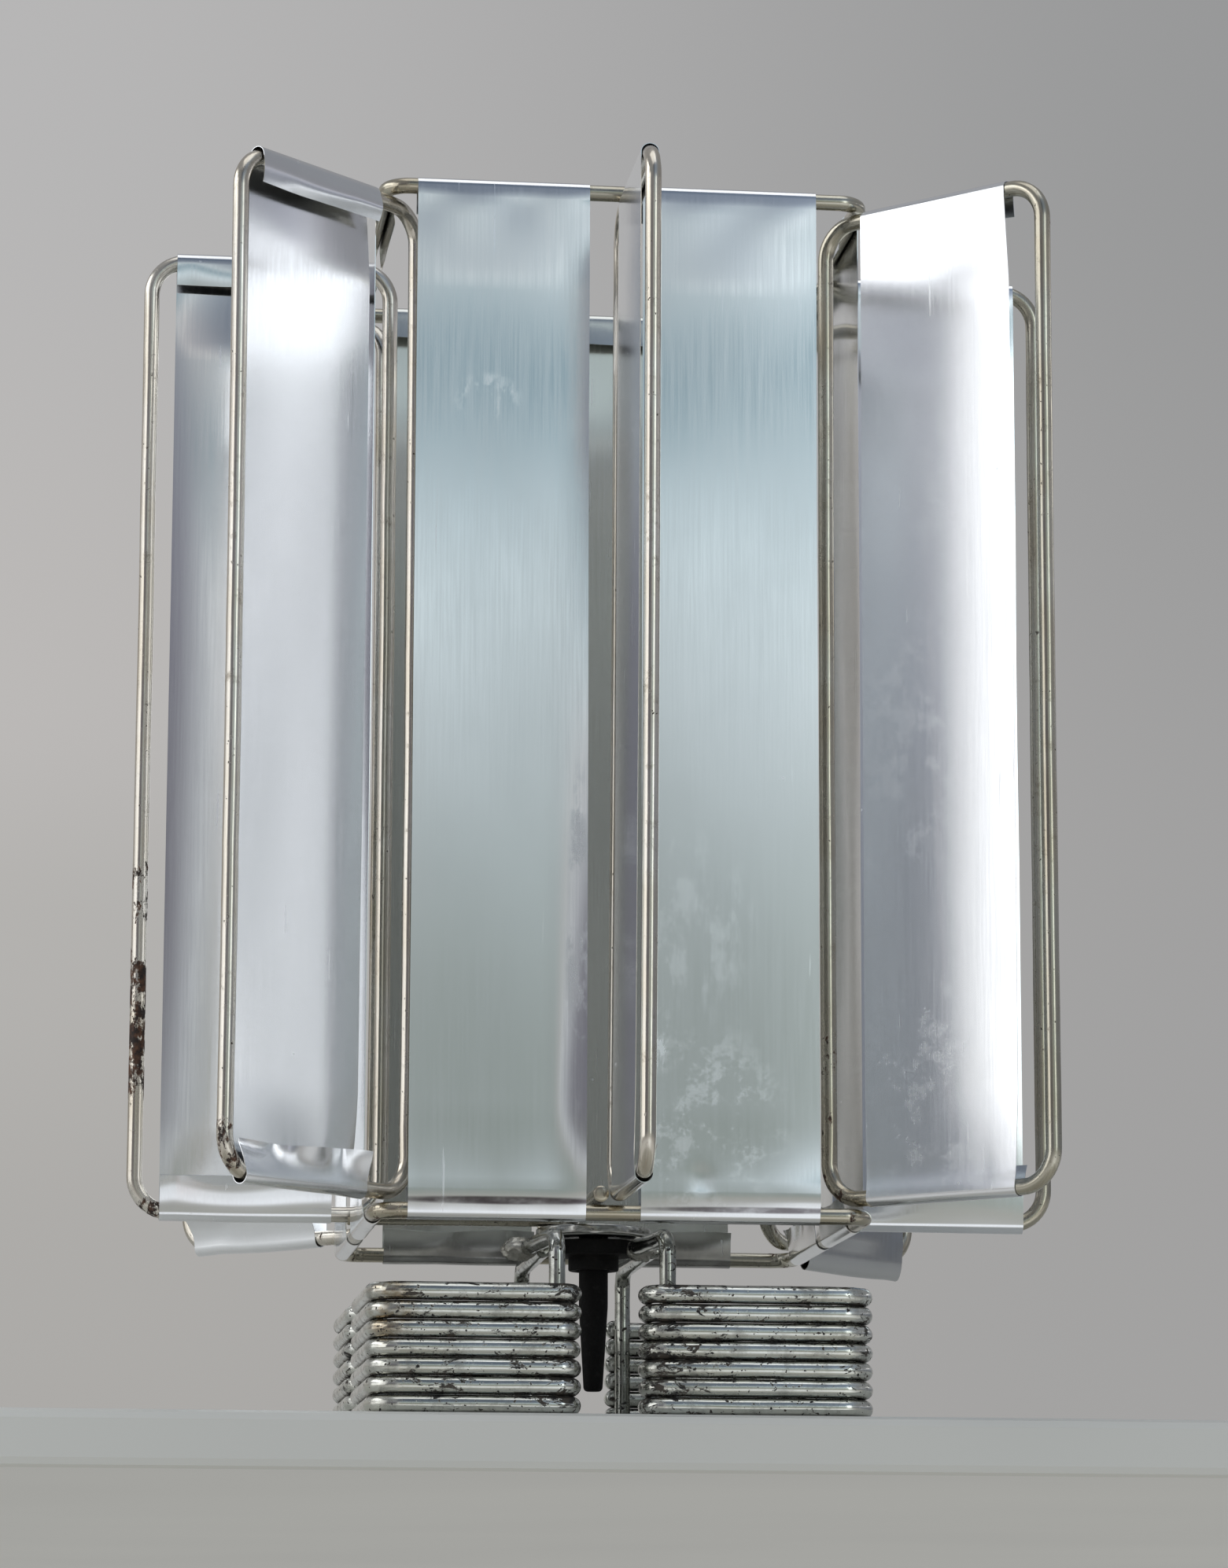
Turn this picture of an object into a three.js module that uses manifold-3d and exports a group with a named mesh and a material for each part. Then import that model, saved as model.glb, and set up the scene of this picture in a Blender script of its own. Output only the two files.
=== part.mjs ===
// Wire-and-foil variable tuning capacitor: a cage of eight radial wire loops between two square wire rings,
// hung with sixteen folded foil vanes, turning on a black spindle above four stacks of bent wire bars.
// Millimetres, +Z up, the object stands on z = 0, the spindle axis is the Z axis.
import * as THREE from "three";
import { mergeVertices } from "three/addons/utils/BufferGeometryUtils.js";
import Module from "manifold-3d";

const wasm = await Module();
wasm.setup();

// ---- driving dimensions ----
const GAP = 0.3; // air between neighbouring pieces
const WIRE_D = 2.06; // wire of rings, loops, spokes
const RING_SIDE = 62; // square ring, centre line to centre line
const RING_CORNER_R = 3;
const RING_BOTTOM_Z = 25.13;
const RING_TOP_Z = 157.58;
const CROSS = WIRE_D + GAP; // height step where one wire crosses another
const LOOP_BOTTOM_Z = RING_BOTTOM_Z + CROSS;
const LOOP_TOP_Z = RING_TOP_Z - CROSS;
const LOOP_CORNER_R = 4.6;
const SIDE_LOOP = { inner: 28.1, outer: 60.1 }; // leg centre lines from the axis
const CORNER_LOOP = { inner: 38.0, outer: 71.8 };
const FOIL_T = 0.15;
const FOIL_FLAP = 3.4; // free length of the folded flap past the wire centre
const BAR_D = 2.36; // wire of the base stacks
const BAR_PITCH = 2.33;
const BARS = 7;
const BASE_HALF = 31; // base outline, centre line
const ARM_SHORT_END = 6.1; // where the short arm stops before the middle
const ARM_LONG_END = 3.5;
const ARM_BEND_R = 2.1;
const BASE_CORNER_R = 3.2;
const POST_D = 2.16;
const POST_LINE = 26.05; // posts stand just inside the turned-in bar ends
const POST_ARM_Z = 22.9;
const POST_BEND_R = 2.4;
const POST_X = { front_left: -7.7, front_right: 6.3, back_left: -6.7, back_right: 7.1 };
const SHAFT_R = 1.9;
const SHAFT_TIP_R = 1.25;
const SHAFT_BOTTOM_Z = 4.9;
const SHAFT_TOP_Z = 26.1;
const BUSH_FLANGE_R = 5.6;
const BUSH_STEP_R = 3.3;
const BUSH_Z = [20.55, 22.5, 24.4]; // step bottom, flange bottom, flange top
const DISC_R = 7.6;
const DISC_Z = [24.72, 26.14];
const SPOKE_Z = RING_BOTTOM_Z + CROSS;
const CROSS_BAR_X = -2.9;

// ---- finishes ----
const finish = (color, roughness, metalness) => () =>
  new THREE.MeshStandardMaterial({ color, roughness, metalness });
const nickelWire = finish(0xa8a598, 0.34, 0.95);
const tinnedWire = finish(0xb4b5ac, 0.3, 0.95);
const foilSheet = finish(0xb4bcc0, 0.22, 1.0);
const blackPlastic = finish(0x0c0c0c, 0.55, 0.0);
const solderMetal = finish(0x9c988a, 0.42, 0.85);
const discMetal = finish(0xa5a89f, 0.3, 0.95);

const root = new THREE.Group();
function part(name, geometry, material, parent = root) {
  const mesh = new THREE.Mesh(geometry, material());
  mesh.name = name;
  parent.add(mesh);
  return mesh;
}

// ---- solids ----
function solid(geometry) {
  const g = geometry.clone();
  g.deleteAttribute("normal");
  g.deleteAttribute("uv");
  const m = mergeVertices(g, 1e-4);
  return new wasm.Manifold(
    new wasm.Mesh({
      numProp: 3,
      vertProperties: new Float32Array(m.attributes.position.array),
      triVerts: new Uint32Array(m.index.array),
    }),
  );
}
function geometryOf(manifold) {
  const m = manifold.getMesh();
  const v = new Float32Array(m.numVert * 3);
  for (let i = 0; i < m.numVert; i++)
    v.set(m.vertProperties.subarray(i * m.numProp, i * m.numProp + 3), i * 3);
  const g = new THREE.BufferGeometry();
  g.setAttribute("position", new THREE.BufferAttribute(v, 3));
  g.setIndex(new THREE.BufferAttribute(new Uint32Array(m.triVerts), 1));
  g.computeVertexNormals();
  return g;
}

// An eight-sided wire lying in the XY plane, centred on z = 0: the flat outline is drawn inside the bevels.
const octagon = (d) => ({
  cut: d * 0.5 * (1 - Math.tan(Math.PI / 8)),
  flat: d * Math.tan(Math.PI / 8),
});
function wireFromOutline(outline, holes, d) {
  const { cut, flat } = octagon(d);
  const shape = new THREE.Shape(outline);
  for (const h of holes) shape.holes.push(new THREE.Path(h));
  const g = new THREE.ExtrudeGeometry(shape, {
    depth: flat,
    bevelEnabled: true,
    bevelSegments: 1,
    bevelThickness: cut,
    bevelSize: cut,
    bevelOffset: -cut,
    curveSegments: 1,
  });
  g.translate(0, 0, -flat / 2);
  return g;
}
function roundedRect(x0, y0, x1, y1, r, steps) {
  const pts = [];
  const corner = (cx, cy, a0) => {
    for (let i = 0; i <= steps; i++) {
      const a = a0 + (Math.PI / 2) * (i / steps);
      pts.push(new THREE.Vector2(cx + r * Math.cos(a), cy + r * Math.sin(a)));
    }
  };
  corner(x1 - r, y0 + r, -Math.PI / 2);
  corner(x1 - r, y1 - r, 0);
  corner(x0 + r, y1 - r, Math.PI / 2);
  corner(x0 + r, y0 + r, Math.PI);
  return pts;
}
// Closed wire loop with round corners; x0..y1 are centre lines.
function wireLoop(x0, y0, x1, y1, r, d, steps = 4) {
  const h = d / 2;
  return wireFromOutline(
    roundedRect(x0 - h, y0 - h, x1 + h, y1 + h, r + h, steps),
    [roundedRect(x0 + h, y0 + h, x1 - h, y1 - h, r - h, steps)],
    d,
  );
}
// Centre line through corner points, each rounded with its own radius.
function filleted(points, radii, steps = 5) {
  const out = [points[0].clone()];
  for (let i = 1; i < points.length - 1; i++) {
    const p = points[i];
    const a = points[i - 1].clone().sub(p).normalize();
    const b = points[i + 1].clone().sub(p).normalize();
    const half = Math.acos(THREE.MathUtils.clamp(a.dot(b), -1, 1)) / 2;
    const r = radii[i - 1];
    const back = r / Math.tan(half);
    const centre = p.clone().add(a.clone().add(b).normalize().multiplyScalar(r / Math.sin(half)));
    const from = p.clone().add(a.clone().multiplyScalar(back)).sub(centre);
    const to = p.clone().add(b.clone().multiplyScalar(back)).sub(centre);
    const turn = Math.PI - 2 * half;
    const sign = Math.sign(from.x * to.y - from.y * to.x);
    for (let k = 0; k <= steps; k++) {
      const t = (turn * k * sign) / steps;
      out.push(
        new THREE.Vector2(
          centre.x + from.x * Math.cos(t) - from.y * Math.sin(t),
          centre.y + from.x * Math.sin(t) + from.y * Math.cos(t),
        ),
      );
    }
  }
  out.push(points[points.length - 1].clone());
  return out;
}
// Outline of a band of half width h round an open centre line.
function band(line, h) {
  const left = [];
  const right = [];
  line.forEach((p, i) => {
    const a = line[Math.max(0, i - 1)];
    const b = line[Math.min(line.length - 1, i + 1)];
    const d1 = p.clone().sub(a);
    const d2 = b.clone().sub(p);
    if (d1.lengthSq() === 0) d1.copy(d2);
    if (d2.lengthSq() === 0) d2.copy(d1);
    d1.normalize();
    d2.normalize();
    const n1 = new THREE.Vector2(-d1.y, d1.x);
    const n2 = new THREE.Vector2(-d2.y, d2.x);
    const n = n1.add(n2).normalize();
    const k = h / n.dot(new THREE.Vector2(-d2.y, d2.x));
    left.push(p.clone().add(n.clone().multiplyScalar(k)));
    right.push(p.clone().sub(n.clone().multiplyScalar(k)));
  });
  return left.concat(right.reverse());
}
function openWire(line, d) {
  return wireFromOutline(band(line, d / 2), [], d);
}
const V = (x, y) => new THREE.Vector2(x, y);

// ---- base: four corner stacks of bent bars ----
function cornerStack() {
  // front left corner: short arm along the front, long arm along the left side, both ends turned in
  const line = filleted(
    [
      V(-ARM_SHORT_END, -BASE_HALF + ARM_BEND_R + 1.4),
      V(-ARM_SHORT_END, -BASE_HALF),
      V(-BASE_HALF, -BASE_HALF),
      V(-BASE_HALF, -ARM_LONG_END),
      V(-BASE_HALF + ARM_BEND_R + 1.4, -ARM_LONG_END),
    ],
    [ARM_BEND_R, BASE_CORNER_R, ARM_BEND_R],
    3,
  );
  const bar = openWire(line, BAR_D);
  let stack = null;
  for (let i = 0; i < BARS; i++) {
    const g = bar.clone();
    g.translate(0, 0, BAR_D / 2 + i * BAR_PITCH);
    const s = solid(g);
    stack = stack ? stack.add(s) : s;
  }
  return geometryOf(stack);
}
const stackGeometry = cornerStack();
const base = new THREE.Group();
root.add(base);
[
  ["bar_stack_front_left", 0],
  ["bar_stack_front_right", 90],
  ["bar_stack_back_right", 180],
  ["bar_stack_back_left", 270],
].forEach(([name, deg]) => {
  const m = part(name, stackGeometry, tinnedWire, base);
  m.rotation.z = THREE.MathUtils.degToRad(deg);
});

// ---- posts: upright wire whose top turns in towards the spindle ----
// Drawn in a vertical plane: local x runs inwards, local y runs up.
function postGeometry(length) {
  const line = filleted(
    [V(0, 0.35), V(0, POST_ARM_Z), V(length, POST_ARM_Z)],
    [POST_BEND_R],
    5,
  );
  const g = openWire(line, POST_D);
  g.rotateX(Math.PI / 2); // local y becomes z
  return g;
}
function post(name, x, y, tx, ty) {
  const length = Math.hypot(tx - x, ty - y);
  const m = part(name, postGeometry(length), tinnedWire, base);
  m.position.set(x, y, 0);
  m.rotation.z = Math.atan2(ty - y, tx - x);
  return m;
}
const ARM_TIP = {
  front_left: [-9.75, -4.4],
  front_right: [4.45, -8.4],
  back_left: [-7.15, -6.4],
  back_right: [7.05, -6.4],
};
post("post_front_left", POST_X.front_left, -POST_LINE, ...ARM_TIP.front_left);
post("post_front_right", POST_X.front_right, -POST_LINE, ...ARM_TIP.front_right);
post("post_back_left", POST_X.back_left, POST_LINE, ...ARM_TIP.back_left);
post("post_back_right", POST_X.back_right, POST_LINE, ...ARM_TIP.back_right);

// ---- bush: black stepped flange that the spindle turns in ----
const lathe = (pts, segments = 28) => {
  const g = new THREE.LatheGeometry(pts.map(([r, z]) => V(r, z)), segments);
  g.rotateX(Math.PI / 2);
  return g;
};
const bore = SHAFT_R + GAP;
part(
  "spindle_bush",
  lathe([
    [bore, BUSH_Z[0]],
    [BUSH_STEP_R, BUSH_Z[0]],
    [BUSH_STEP_R, BUSH_Z[1]],
    [BUSH_FLANGE_R - 0.25, BUSH_Z[1]],
    [BUSH_FLANGE_R, BUSH_Z[1] + 0.25],
    [BUSH_FLANGE_R, BUSH_Z[2]],
    [bore, BUSH_Z[2]],
    [bore, BUSH_Z[0]],
  ]),
  blackPlastic,
  base,
);

// ---- solder lumps that tie the post arms together on each side of the bush ----
function lump(cx, cy, cz, rx, ry, rz, cutters) {
  const g = new THREE.SphereGeometry(1, 14, 10);
  const p = g.attributes.position;
  for (let i = 0; i < p.count; i++) {
    const x = p.getX(i), y = p.getY(i), z = p.getZ(i);
    const k = 1 + 0.07 * Math.sin(5 * x + 1.3) * Math.cos(4 * y - 0.6) + 0.05 * Math.sin(6 * z + x * 2);
    p.setXYZ(i, x * k, y * k, z * k);
  }
  g.scale(rx, ry, rz);
  g.translate(cx, cy, cz);
  let s = solid(g);
  for (const c of cutters) s = s.subtract(c);
  const bodies = s.decompose();
  bodies.sort((a, b) => b.volume() - a.volume());
  return geometryOf(bodies[0]);
}
function armCutter(x, y, tip, extra) {
  const length = Math.hypot(tip[0] - x, tip[1] - y);
  const g = new THREE.CylinderGeometry(POST_D / 2 + GAP, POST_D / 2 + GAP, length + extra, 12);
  g.rotateZ(-Math.PI / 2);
  g.translate((length + extra) / 2, 0, 0);
  g.rotateZ(Math.atan2(tip[1] - y, tip[0] - x));
  g.translate(x, y, POST_ARM_Z);
  return solid(g);
}
const bushCutter = (() => {
  const g = new THREE.CylinderGeometry(BUSH_FLANGE_R + GAP, BUSH_FLANGE_R + GAP, 12, 40);
  g.rotateX(Math.PI / 2);
  g.translate(0, 0, BUSH_Z[1] + 1);
  return solid(g);
})();
part(
  "solder_left",
  lump(-9.9, -6.2, 22.8, 3.1, 2.5, 1.75, [
    armCutter(POST_X.front_left, -POST_LINE, ARM_TIP.front_left, GAP),
    armCutter(POST_X.back_left, POST_LINE, ARM_TIP.back_left, 6),
    bushCutter,
  ]),
  solderMetal,
  base,
);
part(
  "solder_right",
  lump(5.7, -8.3, 22.75, 2.6, 1.9, 1.7, [
    armCutter(POST_X.front_right, -POST_LINE, ARM_TIP.front_right, GAP),
    armCutter(POST_X.back_right, POST_LINE, ARM_TIP.back_right, 6),
    bushCutter,
  ]),
  solderMetal,
  base,
);

// ---- rotor ----
const rotor = new THREE.Group();
root.add(rotor);
part(
  "spindle",
  lathe(
    [
      [0, SHAFT_BOTTOM_Z],
      [SHAFT_TIP_R - 0.3, SHAFT_BOTTOM_Z],
      [SHAFT_TIP_R, SHAFT_BOTTOM_Z + 0.35],
      [SHAFT_R, SHAFT_BOTTOM_Z + 11],
      [SHAFT_R, SHAFT_TOP_Z],
      [0, SHAFT_TOP_Z],
    ],
    24,
  ),
  blackPlastic,
  rotor,
);
part(
  "hub_disc",
  lathe(
    [
      [bore, DISC_Z[0]],
      [DISC_R - 0.2, DISC_Z[0]],
      [DISC_R, DISC_Z[0] + 0.2],
      [DISC_R, DISC_Z[1] - 0.2],
      [DISC_R - 0.2, DISC_Z[1]],
      [bore, DISC_Z[1]],
      [bore, DISC_Z[0]],
    ],
    32,
  ),
  discMetal,
  rotor,
);
function straightWire(name, x0, y0, x1, y1, z) {
  const g = openWire([V(0, 0), V(Math.hypot(x1 - x0, y1 - y0), 0)], WIRE_D);
  const m = part(name, g, nickelWire, rotor);
  m.position.set(x0, y0, z);
  m.rotation.z = Math.atan2(y1 - y0, x1 - x0);
}
straightWire("spoke_left", -32.1, 3.6, CROSS_BAR_X - WIRE_D / 2 - GAP - 0.1, 1.1, SPOKE_Z);
straightWire("cross_bar", CROSS_BAR_X, -32.1, CROSS_BAR_X, 32.1, SPOKE_Z);

const H = RING_SIDE / 2;
const ring = wireLoop(-H, -H, H, H, RING_CORNER_R, WIRE_D);
part("ring_bottom", ring, nickelWire, rotor).position.z = RING_BOTTOM_Z;
part("ring_top", ring, nickelWire, rotor).position.z = RING_TOP_Z;

// Radial loops, named by where they stand.
const LOOPS = [
  ["front", -90, SIDE_LOOP, 34.6, 56.9],
  ["front_right", -45, CORNER_LOOP, 44.4, 66.7],
  ["right", 0, SIDE_LOOP, 34.6, 57.1],
  ["back_right", 45, CORNER_LOOP, 47.3, 69.3],
  ["back", 90, SIDE_LOOP, 34.6, 56.9],
  ["back_left", 135, CORNER_LOOP, 47.4, 69.6],
  ["left", 180, SIDE_LOOP, 34.5, 56.8],
  ["front_left", 225, CORNER_LOOP, 46.8, 69.0],
];

// Folded foil strip: main sheet hanging from the top wire to the bottom wire on one side, wrapped round both
// wires, with a short flap on the other side. Profile in local x (across) and y (up), extruded along z.
function foilGeometry(zBottom, zTop, width) {
  const r = WIRE_D / 2 + GAP + FOIL_T / 2;
  const mid = [];
  const arc = (cy, a0, a1, n) => {
    for (let i = 0; i <= n; i++) {
      const a = a0 + ((a1 - a0) * i) / n;
      mid.push(V(r * Math.cos(a), cy + r * Math.sin(a)));
    }
  };
  mid.push(V(r, zTop - FOIL_FLAP));
  arc(zTop, 0, Math.PI, 6);
  arc(zBottom, Math.PI, 2 * Math.PI, 6);
  mid.push(V(r, zBottom + FOIL_FLAP));
  const shape = new THREE.Shape(band(mid, FOIL_T / 2));
  return new THREE.ExtrudeGeometry(shape, { depth: width, bevelEnabled: false, curveSegments: 1 });
}

for (const [where, deg, reach, from, to] of LOOPS) {
  const g = new THREE.Group();
  g.rotation.z = THREE.MathUtils.degToRad(deg); // local +x is outwards
  rotor.add(g);
  const loop = wireLoop(reach.inner, LOOP_BOTTOM_Z, reach.outer, LOOP_TOP_Z, LOOP_CORNER_R, WIRE_D);
  loop.rotateX(Math.PI / 2);
  part("loop_" + where, loop, nickelWire, g);
  // profile x -> tangent, main sheet on the clockwise side; extrusion runs outwards
  const foil = foilGeometry(LOOP_BOTTOM_Z, LOOP_TOP_Z, to - from);
  foil.applyMatrix4(
    new THREE.Matrix4().makeBasis(
      new THREE.Vector3(0, 1, 0),
      new THREE.Vector3(0, 0, 1),
      new THREE.Vector3(1, 0, 0),
    ),
  );
  foil.translate(from, 0, 0);
  part("foil_loop_" + where, foil, foilSheet, g);
}

// Face strips: two on each side of the cage, hung between the rings, main sheet outside.
const SIDES = [
  ["front", -90, [-27.1, -4.8], [2.1, 24.8]],
  ["right", 0, [-21.6, -1.8], [2.0, 24.3]],
  ["back", 90, [-22.5, -1.8], [4.7, 25.2]],
  ["left", 180, [-26.5, -5.2], [3.0, 25.4]],
];
for (const [where, deg, a, b] of SIDES) {
  const g = new THREE.Group();
  g.rotation.z = THREE.MathUtils.degToRad(deg);
  rotor.add(g);
  [["1", a], ["2", b]].forEach(([n, [from, to]]) => {
    // local x outwards, local y along the side
    const foil = foilGeometry(RING_BOTTOM_Z, RING_TOP_Z, to - from);
    foil.applyMatrix4(
      new THREE.Matrix4().makeBasis(
        new THREE.Vector3(-1, 0, 0),
        new THREE.Vector3(0, 0, 1),
        new THREE.Vector3(0, 1, 0),
      ),
    );
    foil.translate(H, from, 0);
    part("foil_" + where + "_" + n, foil, foilSheet, g);
  });
}

export default root;
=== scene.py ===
import math
import bpy
import numpy as np
from mathutils import Matrix, Vector

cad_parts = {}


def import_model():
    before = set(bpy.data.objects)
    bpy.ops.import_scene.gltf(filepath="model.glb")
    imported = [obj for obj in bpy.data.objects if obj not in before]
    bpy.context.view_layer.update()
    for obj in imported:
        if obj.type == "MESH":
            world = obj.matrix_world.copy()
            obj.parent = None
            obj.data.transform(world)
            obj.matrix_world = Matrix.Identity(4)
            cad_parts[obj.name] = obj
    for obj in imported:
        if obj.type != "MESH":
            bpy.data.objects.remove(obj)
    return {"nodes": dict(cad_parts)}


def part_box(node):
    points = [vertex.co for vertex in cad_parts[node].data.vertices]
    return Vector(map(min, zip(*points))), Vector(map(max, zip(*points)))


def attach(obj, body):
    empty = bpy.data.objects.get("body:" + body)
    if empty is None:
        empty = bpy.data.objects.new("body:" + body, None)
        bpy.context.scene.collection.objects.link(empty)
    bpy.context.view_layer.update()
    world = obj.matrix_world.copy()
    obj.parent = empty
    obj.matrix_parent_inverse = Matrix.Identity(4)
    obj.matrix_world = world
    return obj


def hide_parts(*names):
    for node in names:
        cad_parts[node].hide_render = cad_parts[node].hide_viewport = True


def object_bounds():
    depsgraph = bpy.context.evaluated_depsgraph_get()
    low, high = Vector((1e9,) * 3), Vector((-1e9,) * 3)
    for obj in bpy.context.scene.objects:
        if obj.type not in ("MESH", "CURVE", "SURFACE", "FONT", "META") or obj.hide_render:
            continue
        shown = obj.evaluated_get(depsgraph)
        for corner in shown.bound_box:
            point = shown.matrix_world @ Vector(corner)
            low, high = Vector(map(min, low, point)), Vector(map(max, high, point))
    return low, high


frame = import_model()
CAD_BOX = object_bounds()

MM = 0.001
scene = bpy.context.scene
scene.view_settings.view_transform = "Standard"
scene.view_settings.look = "None"


def mid(node):
    lo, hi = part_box(node)
    return (lo + hi) / 2


# ---------------------------------------------------------------- sizes, read from the frame
lo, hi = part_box("ring_top")
WIRE_R = (hi.z - lo.z) / 2
RING_HALF = (hi.x - lo.x) / 2 - WIRE_R
RING_TOP = (hi.z + lo.z) / 2
lo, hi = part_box("ring_bottom")
RING_BOTTOM = (hi.z + lo.z) / 2
lo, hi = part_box("loop_right")
LOOP_Z = (lo.z + WIRE_R, hi.z - WIRE_R)
SIDE_REACH = (lo.x + WIRE_R, hi.x - WIRE_R)
lo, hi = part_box("bar_stack_front_left")
BARS = 7
BAR_R = 1.18 * MM
BAR_PITCH = (hi.z - lo.z - 2 * BAR_R) / (BARS - 1)
BASE_HALF = -lo.x - BAR_R
SHORT_END = -hi.x
LONG_END = -hi.y


# ---------------------------------------------------------------- mesh helpers
def mesh_object(name, verts, faces, material, body, node, sharp=42):
    me = bpy.data.meshes.new(name)
    me.from_pydata([tuple(v) for v in verts], [], [tuple(int(i) for i in f) for f in faces])
    me.validate()
    me.polygons.foreach_set("use_smooth", [True] * len(me.polygons))
    me.set_sharp_from_angle(angle=math.radians(sharp))
    me.materials.append(material)
    me.update()
    ob = bpy.data.objects.new(name, me)
    scene.collection.objects.link(ob)
    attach(ob, body)
    if node:
        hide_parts(*( [node] if isinstance(node, str) else node))
    return ob


def wobble(seed, n=3, low=0.6, high=2.4):
    """A smooth function of t in 0..1 made of a few seeded sines, about -1..1."""
    rs = np.random.RandomState(seed)
    f = rs.uniform(low, high, n)
    p = rs.uniform(0, 2 * math.pi, n)
    a = rs.uniform(0.5, 1.0, n)
    return lambda t: sum(a[i] * np.sin(2 * math.pi * f[i] * t + p[i]) for i in range(n)) / a.sum()


def field(seed, n, fx, fy):
    """A smooth function of two variables made of seeded sines of up to fx and fy cycles."""
    rs = np.random.RandomState(seed)
    kx = rs.uniform(-fx, fx, n)
    ky = rs.uniform(-fy, fy, n)
    p = rs.uniform(0, 2 * math.pi, n)
    a = rs.uniform(0.4, 1.0, n)
    return lambda x, y: sum(a[i] * np.sin(2 * math.pi * (kx[i] * x + ky[i] * y) + p[i]) for i in range(n)) / (a.sum() * 0.55)


def fillet(points, radii, closed, steps=10):
    """Polyline with rounded corners; radii one per corner (all points if closed, inner ones if not)."""
    pts = [Vector(p) for p in points]
    n = len(pts)
    out = []
    for i in range(n):
        if not closed and i in (0, n - 1):
            out.append(pts[i])
            continue
        r = radii[i % len(radii)] if closed else radii[i - 1]
        a = (pts[i - 1] - pts[i]).normalized()
        b = (pts[(i + 1) % n] - pts[i]).normalized()
        half = a.angle(b) / 2
        back = r / math.tan(half)
        c = pts[i] + (a + b).normalized() * (r / math.sin(half))
        s, e = pts[i] + a * back - c, pts[i] + b * back - c
        turn = math.pi - 2 * half
        axis = s.cross(e).normalized()
        for k in range(steps + 1):
            out.append(c + Matrix.Rotation(turn * k / steps, 3, axis) @ s)
    return out


def resample(pts, closed, step):
    """Adds points on the long straight runs, so that a bend or dent has somewhere to go."""
    out = []
    n = len(pts)
    for i in range(n if closed else n - 1):
        a, b = pts[i], pts[(i + 1) % n]
        k = max(1, int(round((b - a).length / step)))
        out += [a.lerp(b, j / k) for j in range(k)]
    if not closed:
        out.append(pts[-1])
    return out


def tube_mesh(pts, radius, closed, sides=20, seed=0, rough=0.012, dome=0.55):
    """Vertices and faces of a round wire along pts; open ends are cropped with a small chamfer."""
    n = len(pts)
    tang = []
    for i in range(n):
        if closed:
            d = pts[(i + 1) % n] - pts[i - 1]
        else:
            d = pts[min(n - 1, i + 1)] - pts[max(0, i - 1)]
        tang.append(d.normalized())
    up = Vector((0, 0, 1)) if abs(tang[0].z) < 0.9 else Vector((1, 0, 0))
    nrm = (up - tang[0] * up.dot(tang[0])).normalized()
    rs = np.random.RandomState(seed)
    ph = rs.uniform(0, 6.28, 6)
    verts, faces, rings = [], [], []
    stations = [(i, 0.0, 1.0) for i in range(n)]
    if not closed:
        stations = [(0, -dome * 0.35 * radius, 0.62), (0, -dome * 0.22 * radius, 0.86), (0, 0.0, 1.0)] + stations[1:-1] + [
            (n - 1, 0.0, 1.0), (n - 1, dome * 0.22 * radius, 0.86), (n - 1, dome * 0.35 * radius, 0.62)]
    run = 0.0
    prev = None
    for (i, push, scale) in stations:
        t = tang[i]
        nrm = (nrm - t * nrm.dot(t)).normalized()
        b = t.cross(nrm)
        c = pts[i] + t * push
        if prev is not None:
            run += (c - prev).length
        prev = c
        ring = []
        for k in range(sides):
            a = 2 * math.pi * k / sides
            w = 1 + rough * (math.sin(run * 900 + ph[0]) * math.sin(a + ph[1]) + 0.7 * math.sin(run * 2100 + 2 * a + ph[2]))
            r = radius * scale * min(w, 1.0 + rough * 0.4) * (1 - rough * 0.5)
            ring.append(len(verts))
            verts.append(c + (nrm * math.cos(a) + b * math.sin(a)) * r)
        rings.append(ring)
    m = len(rings)
    for i in range(m if closed else m - 1):
        r0, r1 = rings[i], rings[(i + 1) % m]
        for k in range(sides):
            faces.append((r0[k], r0[(k + 1) % sides], r1[(k + 1) % sides], r1[k]))
    if not closed:
        faces.append(tuple(reversed(rings[0])))
        faces.append(tuple(rings[-1]))
    return verts, faces


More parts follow.
